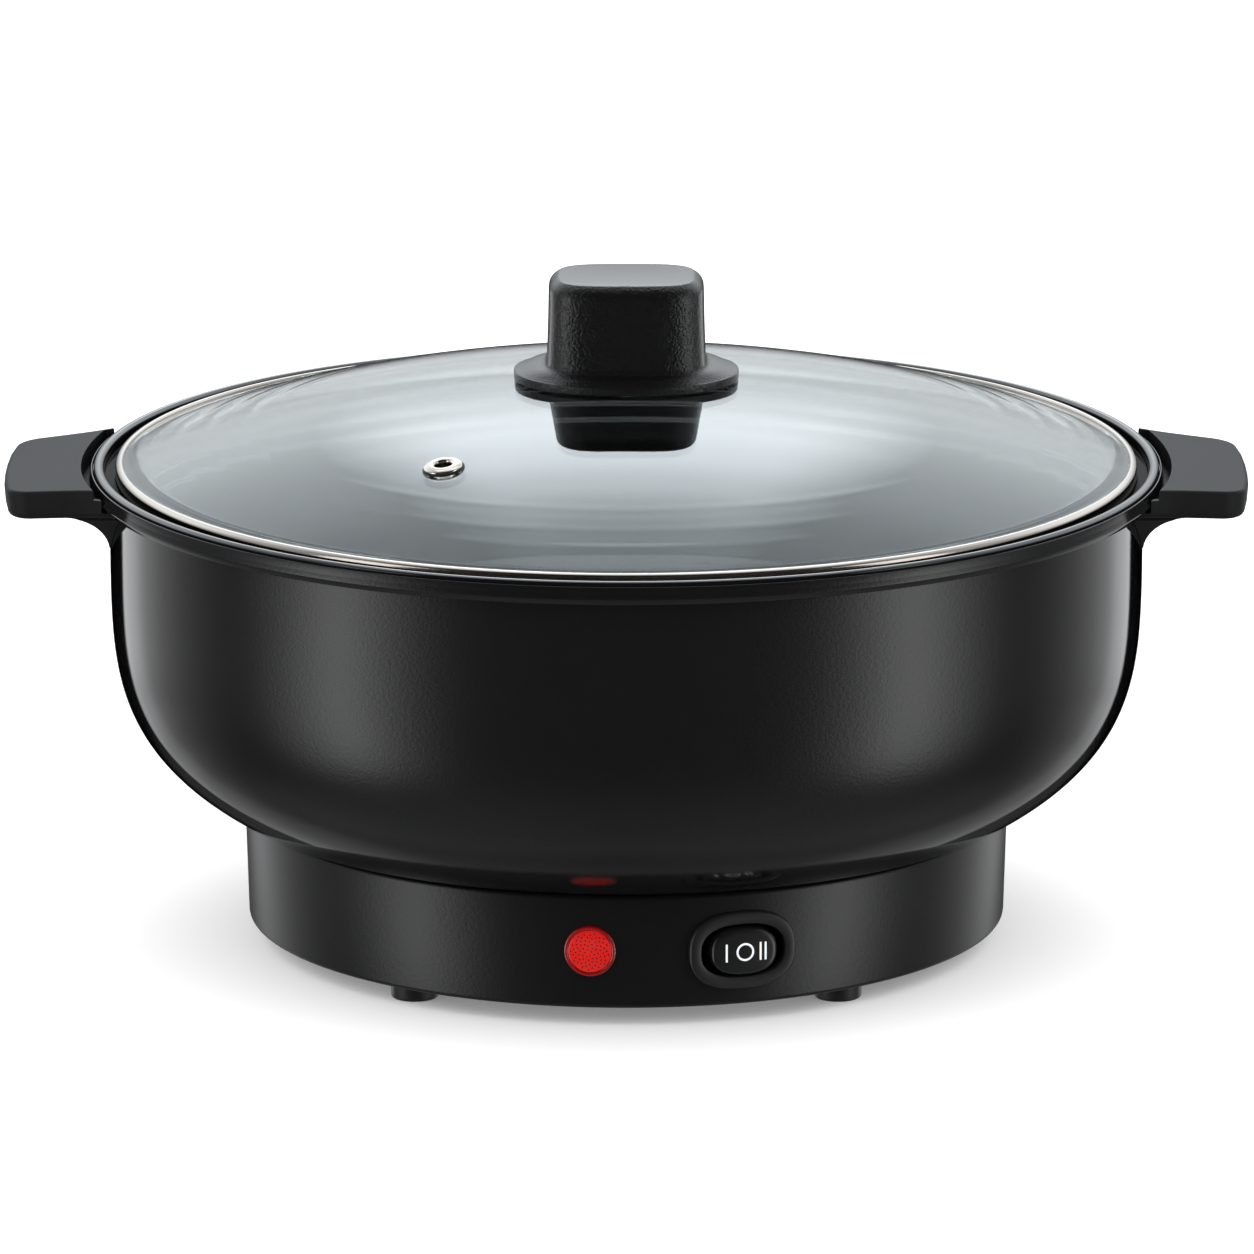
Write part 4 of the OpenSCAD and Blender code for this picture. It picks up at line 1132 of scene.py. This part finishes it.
# %% Knob
BRIM_L = 66.0
BRIM_D = 55.2
GRIP_W = 45.8
GRIP_D = 38.0
SEAT_L = BRIM_L - 6
SEAT_D = BRIM_D - 6
BRIM_GAP = 0.3
LIP_H = 0.65
BRIM_OVAL = 2.1
GRIP_OVAL = 3.6
INSERT_R = 4.5
SEAT_PLAY = 0.4
SEAT_HOLE = (6, 6, 2)
brim_z = crown_z + 0.7
knob_top = high_mm("knob_grip").z
brim_top = brim_z + 1.2
lip_z = crown_z + BRIM_GAP


def brim(z, inset):
    return (z, BRIM_L - 2 * inset, BRIM_D - 2 * inset, BRIM_OVAL)


def grip(z, inset):
    return (z, GRIP_W - 2 * inset, GRIP_D - 2 * inset, GRIP_OVAL)


def dome_drop(vert):
    """How far the dome lies below its crown at a vertex."""
    return (crown_z - dome_z) * MM - math.sqrt((dome_r * MM) ** 2 - vert.co.x ** 2 - vert.co.y ** 2)


# Rows of (distance from the lip, from the brim's top or down from the knob's top, inset).
LIP = ((0, 4.5), (0, 0.9), (0.1, 0.35), (0.35, 0.05), (0.6, 0.0), (1.2, 0.0))
BRIM_EDGE = ((-0.3, 0.0), (-0.08, 0.08), (0, 0.3), (0.1, 0.8))
NECK = ((2.15, -1.2), (2.3, -0.9), (2.7, -0.6), (3.6, -0.4))
CROWN = ((12, 0.0), (4.0, 0.15), (3.0, 0.25), (2.1, 0.6), (1.3, 1.2), (0.65, 1.95), (0.2, 2.6),
         (0.05, 2.95), (0, 3.5))
knob_rings = [brim(lip_z + up, inset) for up, inset in LIP]
knob_rings += [brim(brim_top + up, inset) for up, inset in BRIM_EDGE]
knob_rings += [(brim_top + 1.1, 57.6, 47.8, 2.6), (brim_top + 1.95, 50.2, 42.0, 3.2)]
knob_rings += [grip(brim_top + up, inset) for up, inset in NECK]
knob_rings += [grip(knob_top - down, inset) for down, inset in CROWN]
knob_bm = loft(knob_rings, 192)
for vert in knob_bm.verts:
    if vert.co.z < (lip_z + LIP_H) * MM:
        vert.co.z -= dome_drop(vert)
knob = to_object(knob_bm, "knob")
cut_with(knob, "DIFFERENCE", rod(INSERT_R, brim_z - 1, brim_z + 16, 48),
         oval_bar(crown_z - 4, brim_z, (SEAT_L + SEAT_PLAY, SEAT_D + SEAT_PLAY, BRIM_OVAL)))
finish_piece(knob, "knob", "lid", ["knob_grip"], "knob_plastic", sharp=30)

# %% The cushion under the knob
seat_size = (SEAT_L, SEAT_D, BRIM_OVAL)
seat_bm = loft([(crown_z - 2, *seat_size), (brim_z, *seat_size), (brim_z, *SEAT_HOLE),
                (crown_z - 2, *SEAT_HOLE)], tunnel=True)
for vert in seat_bm.verts:
    if vert.co.z < (crown_z - 1) * MM:
        vert.co.z = (crown_z + 0.02) * MM - dome_drop(vert)
finish_piece(seat_bm, "knob_cushion", "lid", ["knob_seat"], "seal_rubber")

# %% [markdown]
# ## The handles
#
# Each handle is a flat plate with rounded corners, hollowed on the inside to follow the rim, and it
# slopes down a little outwards. Its two inner corners reach in to the collar as cheeks: the rear one in
# full height, the front one as a low step. Below it a bracket grows out of the wall in one round sweep,
# narrow at its tip and wide under the plate. That is the shape that is left where a swept bar and a
# tapered bar overlap, which is what a Boolean intersection gives. All of it is one moulding, so the
# parts are joined and every edge is then softened. The left handle is a mirror image of the right one.

# %% Handles
HANDLE_GAP_R = 160.1
HANDLE_DROOP = 4.5
HANDLE_END = 182.4
DROOP_X = 171.0
WEB_Z = COLLAR_Z - 0.3
BRACKET_X = 162.5
BRACKET_TIP = 119.3
TIP_HALF = 15.0
TOP_HALF = 37.0
BRACKET_ROOT = 140
CHEEK_X = (146, 162)
CHEEK_Y = (39.5, 49.5)
CHEEK_STEP = 3.7
bracket_out = BRACKET_X - WALL_R + 0.4
bracket_rise = handle_bottom_z + 0.7 - BRACKET_TIP


def mirrored(half):
    """Both halves of an outline, from one half given as (across, along) or with a rounding."""
    return half + [(row[0], -row[1], *row[2:]) for row in reversed(half)]


def handle_plate():
    half = [(147, 43.8), (151, 43), (155.5, 41.1, 2.5), (160.5, 39.3, 3.0), (HANDLE_END - 2.2, 34.8, 6.2),
            (HANDLE_END - 0.4, 18), (HANDLE_END, 6)]
    bm = plate(mirrored(half), handle_top_z - handle_bottom_z, start=handle_bottom_z)
    top, bottom = (handle_top_z * MM, handle_bottom_z * MM)
    for level, width in ((top, 1.3), (bottom, 2.4)):
        edges = [e for e in bm.edges if all(abs(v.co.z - level) < 1e-6 for v in e.verts)]
        bmesh.ops.bevel(bm, geom=edges, offset=width * MM, offset_type="OFFSET", segments=5, profile=0.5,
                        affect="EDGES", material=-1)
    hinge = Matrix.Translation((DROOP_X * MM, 0, top))
    tilt_down = hinge @ Matrix.Rotation(math.radians(HANDLE_DROOP), 4, "Y") @ hinge.inverted()
    return closed(bm, tilt_down)


def swept_bar():
    sweep = [(BRACKET_X - bracket_out * math.cos(a), BRACKET_TIP + bracket_rise * math.sin(a))
             for a in (math.radians(5 * k) for k in range(19))]
    bm = plate([(BRACKET_ROOT, BRACKET_TIP)] + sweep + [(BRACKET_X, WEB_Z), (BRACKET_ROOT, WEB_Z)],
               2 * TOP_HALF + 1, "XZ")
    bmesh.ops.translate(bm, vec=(0, (TOP_HALF + 0.5) * MM, 0), verts=bm.verts)
    return bm


def tapered_bar():
    half = [(TIP_HALF, BRACKET_TIP - 1), (TOP_HALF, handle_bottom_z), (TOP_HALF, WEB_Z + 1)]
    outline = half + [(-y, z) for y, z in reversed(half)]
    bm = plate(outline, BRACKET_X + 1 - BRACKET_ROOT, "YZ")
    bmesh.ops.translate(bm, vec=(BRACKET_ROOT * MM, 0, 0), verts=bm.verts)
    return bm


def cheek(y0, y1, top):
    """A block that is kept out of the gap between plate and rim, so that the plate stays there."""
    x0, x1 = CHEEK_X
    low = WEB_Z - 5
    return plate([(x0, y0), (x1, y0), (x1, y1), (x0, y1)], top - low, start=low)


def build_handle():
    near, far = CHEEK_Y
    above = rim_z + 5
    bracket = cut_with(to_object(swept_bar(), "bracket"), "INTERSECT", tapered_bar())
    gap = cut_with(to_object(rod(HANDLE_GAP_R, WEB_Z, above, RING_STEPS), "gap"), "DIFFERENCE",
                   cheek(near, far, rim_z + 10), cheek(-far, -near, WEB_Z + CHEEK_STEP))
    made = cut_with(to_object(handle_plate(), "handle"), "UNION", as_bmesh(bracket))
    cut_with(made, "DIFFERENCE", as_bmesh(gap))
    cut_with(made, "DIFFERENCE", rod(WALL_R + 0.1, 90, above, RING_STEPS),
             rod(collar_r + 0.3, WEB_Z, above, RING_STEPS))
    soften(made, 0.35, 3)
    bpy.data.objects.remove(bracket)
    bpy.data.objects.remove(gap)
    return made


def keep_faces_flat(made, large_mm2=80):
    """Marks the outline of each large face as sharp, so that its rounded edges don't shade it."""
    mesh = made.data
    large = large_mm2 * MM ** 2
    outlines = {key for face in mesh.polygons if face.area > large for key in face.edge_keys}
    for edge in mesh.edges:
        edge.use_edge_sharp = edge.use_edge_sharp or edge.key in outlines


right_handle = build_handle()
left_bm = as_bmesh(right_handle)
bmesh.ops.scale(left_bm, vec=(-1, 1, 1), verts=left_bm.verts)
bmesh.ops.reverse_faces(left_bm, faces=left_bm.faces)
for side, made in (("right", right_handle), ("left", left_bm)):
    handle = finish_piece(made, f"{side}_handle", "housing", [f"handle_{side}"], "handle_plastic", sharp=12)
    keep_faces_flat(handle)

# %% [markdown]
# ## The signal lamp
#
# A red cap in a dark red rim. What makes such a cap look like a lamp is the pattern of small prisms
# on it, which breaks the light into dots. The prisms are real bumps here: one small cone, repeated like
# the seeds of a sunflower. Their very dark, opaque red is painted shade: real prisms are of the cap's
# clear red, and the dark between the dots of light is painted on them. A bump map would not keep the
# dots apart at this size. The cones are part of the rim's mesh, with a material of their own.

# %% Lamp
LENS_R = 6.3
LAMP_R = 7.45
CAP_TOP = 1.5
PRISMS = 74
PRISM_FIELD_R = 5.6
GOLDEN = math.pi * (3 - math.sqrt(5))
lamp_place = on_skirt(LAMP_TURN, LAMP_Z)


def prism_field():
    """Small cones in a sunflower's spiral on the shallow dome of the cap."""
    field = bmesh.new()
    for k in range(PRISMS):
        radius = PRISM_FIELD_R * math.sqrt((k + 0.5) / PRISMS)
        z = CAP_TOP - 0.6 * radius / LENS_R
        spot = Vector((radius * math.cos(GOLDEN * k), radius * math.sin(GOLDEN * k), z)) * MM
        bmesh.ops.create_cone(field, cap_ends=True, segments=6, radius1=0.36 * MM, radius2=0.16 * MM,
                              depth=0.24 * MM, matrix=Matrix.Translation(spot))
    return field


bezel_rows = [(LENS_R + 0.05, -0.1), (LAMP_R, -0.1), (LAMP_R, 1.1, 0.45), (LENS_R + 0.05, 1.1, 0.4)]
rim = spun(bezel_rows, 96)
add_to(rim, prism_field())
bmesh.ops.transform(rim, matrix=lamp_place, verts=rim.verts)
lamp_rim = finish_piece(rim, "lamp_rim", "housing", ["lamp_bezel"], "bezel_red")
# The cones get the painted-shade red, a darkened copy of the cap's plastic.
lamp_rim.data.materials.append(FINISHES["prism_painted_shade_red"])
centre = lamp_place.to_translation()
for face in lamp_rim.data.polygons:
    if (face.center - centre).length < LENS_R * MM:
        face.material_index = 1

cap_rows = [(0, -8), (5.6, -8, 0.3), (5.6, 0.35), (LENS_R, 0.35, 0.15), (LENS_R, 0.9, 0.3), (0, CAP_TOP)]
finish_piece(spun(cap_rows, 96, lamp_place), "lamp_cap", "housing", ["lamp_lens"], "lens_red")

# %% [markdown]
# ## The switch
#
# An oval frame on the base's wall, a recess inside it, and a rocker whose front stands a little proud.
# Frame and rocker are stacks of ovals like the knob. The frame is a tunnel: its last oval is joined to
# its first, so the opening stays open and the rocker can be seen to move in it.

# %% Switch
SWITCH_OVAL = 2.5
FRAME_W = 32.0
FRAME_H = 23.0
OPENING_W = 25.0
OPENING_H = 15.4
FRAME_BACK = -1.6
ROCKER_FRONT = 3.2
ROCKER_W = 19.9
ROCKER_H = 14.1
PIN_R = 1.4
PIN_HALF = 9.2
switch_place = on_skirt(SWITCH_TURN, SWITCH_Z)
pin_place = switch_place @ Matrix.Translation((0, 0, -4 * MM)) @ Matrix.Rotation(math.pi / 2, 4, "X")


def switch_ovals(width, height, rows):
    """Ovals of the switch, from rows of (height over the wall, inset)."""
    return [(z, width - 2 * inset, height - 2 * inset, SWITCH_OVAL) for z, inset in rows]


frame_rings = switch_ovals(FRAME_W, FRAME_H, (
    (FRAME_BACK, 0), (0.7, 0), (1.1, 0.15), (1.4, 0.45), (1.55, 0.9)))
frame_rings += switch_ovals(OPENING_W, OPENING_H, (
    (1.55, -0.45), (1.45, -0.2), (1.2, -0.05), (FRAME_BACK, 0)))
finish_piece(loft(frame_rings, 128, switch_place, tunnel=True), "switch_frame", "housing",
             ["switch_bezel"], "switch_plastic")

rocker_rings = switch_ovals(ROCKER_W, ROCKER_H, (
    (-7.2, 0.3), (-7.0, 0), (1.2, 0), (2.1, 0.12), (2.6, 0.35), (2.9, 0.65), (3.1, 1.1),
    (ROCKER_FRONT, 1.8)))
rocker = to_object(loft(rocker_rings, 128, switch_place), "rocker")
cut_with(rocker, "UNION", rod(PIN_R, -PIN_HALF, PIN_HALF, place=pin_place))
finish_piece(rocker, "rocker", "rocker", ["switch_rocker"], "rocker_plastic")

# %% [markdown]
# ## The marks
#
# Three white marks are printed on the rocker: one bar, a ring and two bars. An image would blur up
# close, so they are thin solids, a spun ring and three plates, in one mesh.

# %% Marks on the rocker
MARK_W = 0.58
MARK_H = 5.3
MARK_T = 0.12
MARK_ROUND = 0.12
BAR_PLACES = (-5.6, 4.6, 6.1)


def bar(x):
    half_w, half_h = MARK_W / 2, MARK_H / 2
    rows = [(x - half_w, -half_h, MARK_ROUND), (x + half_w, -half_h, MARK_ROUND),
            (x + half_w, half_h, MARK_ROUND), (x - half_w, half_h, MARK_ROUND)]
    return plate(rows, MARK_T, start=ROCKER_FRONT)


mark_top = ROCKER_FRONT + MARK_T
marks = spun([(MARK_H / 2 - MARK_W, ROCKER_FRONT), (MARK_H / 2, ROCKER_FRONT), (MARK_H / 2, mark_top),
              (MARK_H / 2 - MARK_W, mark_top)], 64)
for x in BAR_PLACES:
    add_to(marks, bar(x))
bmesh.ops.transform(marks, matrix=switch_place, verts=marks.verts)
finish_piece(marks, "marks", "rocker", ["rocker_marks"], "mark_white")

# %% [markdown]
# ## Feet and cord outlet
#
# The feet are moulded rubber. Each has a stepped hole, in which the head of its screw sinks. The cord
# outlet at the back is a tapered bush with a flange. All are spun, because such parts are round and one
# outline holds their hole, step and roundings together. The outlet's cord isn't part of this model.

# %% Feet
FOOT_R = 6.9
HEAD_R = 4.2
SHANK_R = 2.1
HEAD_Z = 3.2
foot_top = skirt_bottom + 1
foot_rows = [(HEAD_R, 0, 0.3), (FOOT_R, 0, 0.9), (FOOT_R, foot_top), (SHANK_R, foot_top),
             (SHANK_R, HEAD_Z), (HEAD_R, HEAD_Z)]
for x, y in foot_places():
    label = ("front" if y < 0 else "rear") + "_" + ("left" if x < 0 else "right")
    finish_piece(spun(foot_rows, 64, at(x, y)), f"rubber_{label}", "housing", [f"foot_{label}"],
                 "seal_rubber")

# %% Cord outlet
GLAND_BORE_R = 3.6
GLAND_R = 7.6
GLAND_FLANGE_R = 11
GLAND_IN = -14
GLAND_OUT = 12
gland_rows = [
    (GLAND_BORE_R, GLAND_IN), (GLAND_R, GLAND_IN, 0.5), (GLAND_R, 0.4), (GLAND_FLANGE_R, 0.4, 0.2),
    (GLAND_FLANGE_R, 3.0, 0.8), (8.6, 3.4, 0.5), (6.2, 11.2, 0.3), (5.4, GLAND_OUT, 0.3),
    (GLAND_BORE_R, GLAND_OUT, 0.3)]
finish_piece(spun(gland_rows, 96, on_skirt(180, GLAND_Z)), "outlet", "housing", ["cord_gland"],
             "seal_rubber")

# %% [markdown]
# ## Finishes of the inner pieces
#
# The nodes that stay as CAD made them still need a finish. Most are hidden until the pot is lifted
# out: the cast heating plate, its shield, screws and leads. The switch's body shows at all times, deep
# in the recess round the rocker. It gets a darker plastic than the frame, nearly without shine, which is
# painted shade for the recess. Small mouldings and sleeves have a plain tone with specks of a second one.

# %% Inner finishes
def inner_moulding(name, colour, roughness, speck, speck_share, sheen=0.0):
    tree, shader, position = start_material(name, colour, **{"Sheen Weight": sheen})
    texture = use_group(tree, GRAIN, position, Grains_per_metre=900.0)
    cloud = use_group(tree, CLOUD, position, Size=0.01)
    spots = maths(tree, "MULTIPLY", cloud["Specks"], speck_share)
    plug(tree, mix_colour(tree, spots, opaque(colour), opaque(speck)), shader.inputs["Base Color"])
    rough = maths(tree, "MULTIPLY_ADD", cloud["Cloud"], 0.15, roughness - 0.07)
    plug(tree, rough, shader.inputs["Roughness"])
    bump(tree, shader, texture["Height"], 0.02, 0.5)


# Near-black and nearly without shine: painted shade for the recess round the rocker.
satin_plastic("switch_well_painted_shade", (0.0010, 0.0010, 0.0011), 0.70, 0.60, 2200, 0.010, 0.05)
turned_metal("cast_aluminium", (0.60, 0.60, 0.61), 0.34, 700, 0.03)
plated_metal("element_metal", (0.30, 0.28, 0.26), 0.45, (0.22, 0.20, 0.22))
plated_metal("shield_steel", (0.62, 0.62, 0.63), 0.34, (0.70, 0.70, 0.70))
plated_metal("zinc_steel", (0.62, 0.62, 0.60), 0.30, (0.72, 0.72, 0.66))
plated_metal("brass", (0.72, 0.52, 0.22), 0.28, (0.78, 0.60, 0.30))
inner_moulding("inner_plastic", (0.78, 0.77, 0.72), 0.35, (0.60, 0.58, 0.52), 0.4)
inner_moulding("inner_plastic_dark", (0.030, 0.030, 0.030), 0.45, (0.10, 0.09, 0.08), 0.6)
inner_moulding("wire_brown", (0.20, 0.075, 0.03), 0.5, (0.26, 0.11, 0.05), 0.5, sheen=0.15)
inner_moulding("wire_blue", (0.03, 0.11, 0.42), 0.5, (0.05, 0.16, 0.50), 0.5, sheen=0.15)
inner_moulding("wire_white", (0.74, 0.74, 0.70), 0.7, (0.55, 0.55, 0.50), 0.8, sheen=0.3)
print("finishes:", len(FINISHES))

# %% Dress the CAD nodes that stay
node_slots = {part["node"]: part["material_slot"] for part in frame["record"]["subparts"]}
dressed = []
for name, node in frame["nodes"].items():
    if not node.hide_render:
        # The switch's body takes the painted-shade plastic instead of its own slot's finish.
        finish = "switch_well_painted_shade" if name == "switch_body" else node_slots[name]
        node.data.materials.clear()
        node.data.materials.append(FINISHES[finish])
        dressed.append(name)
print("CAD nodes dressed:", len(dressed))
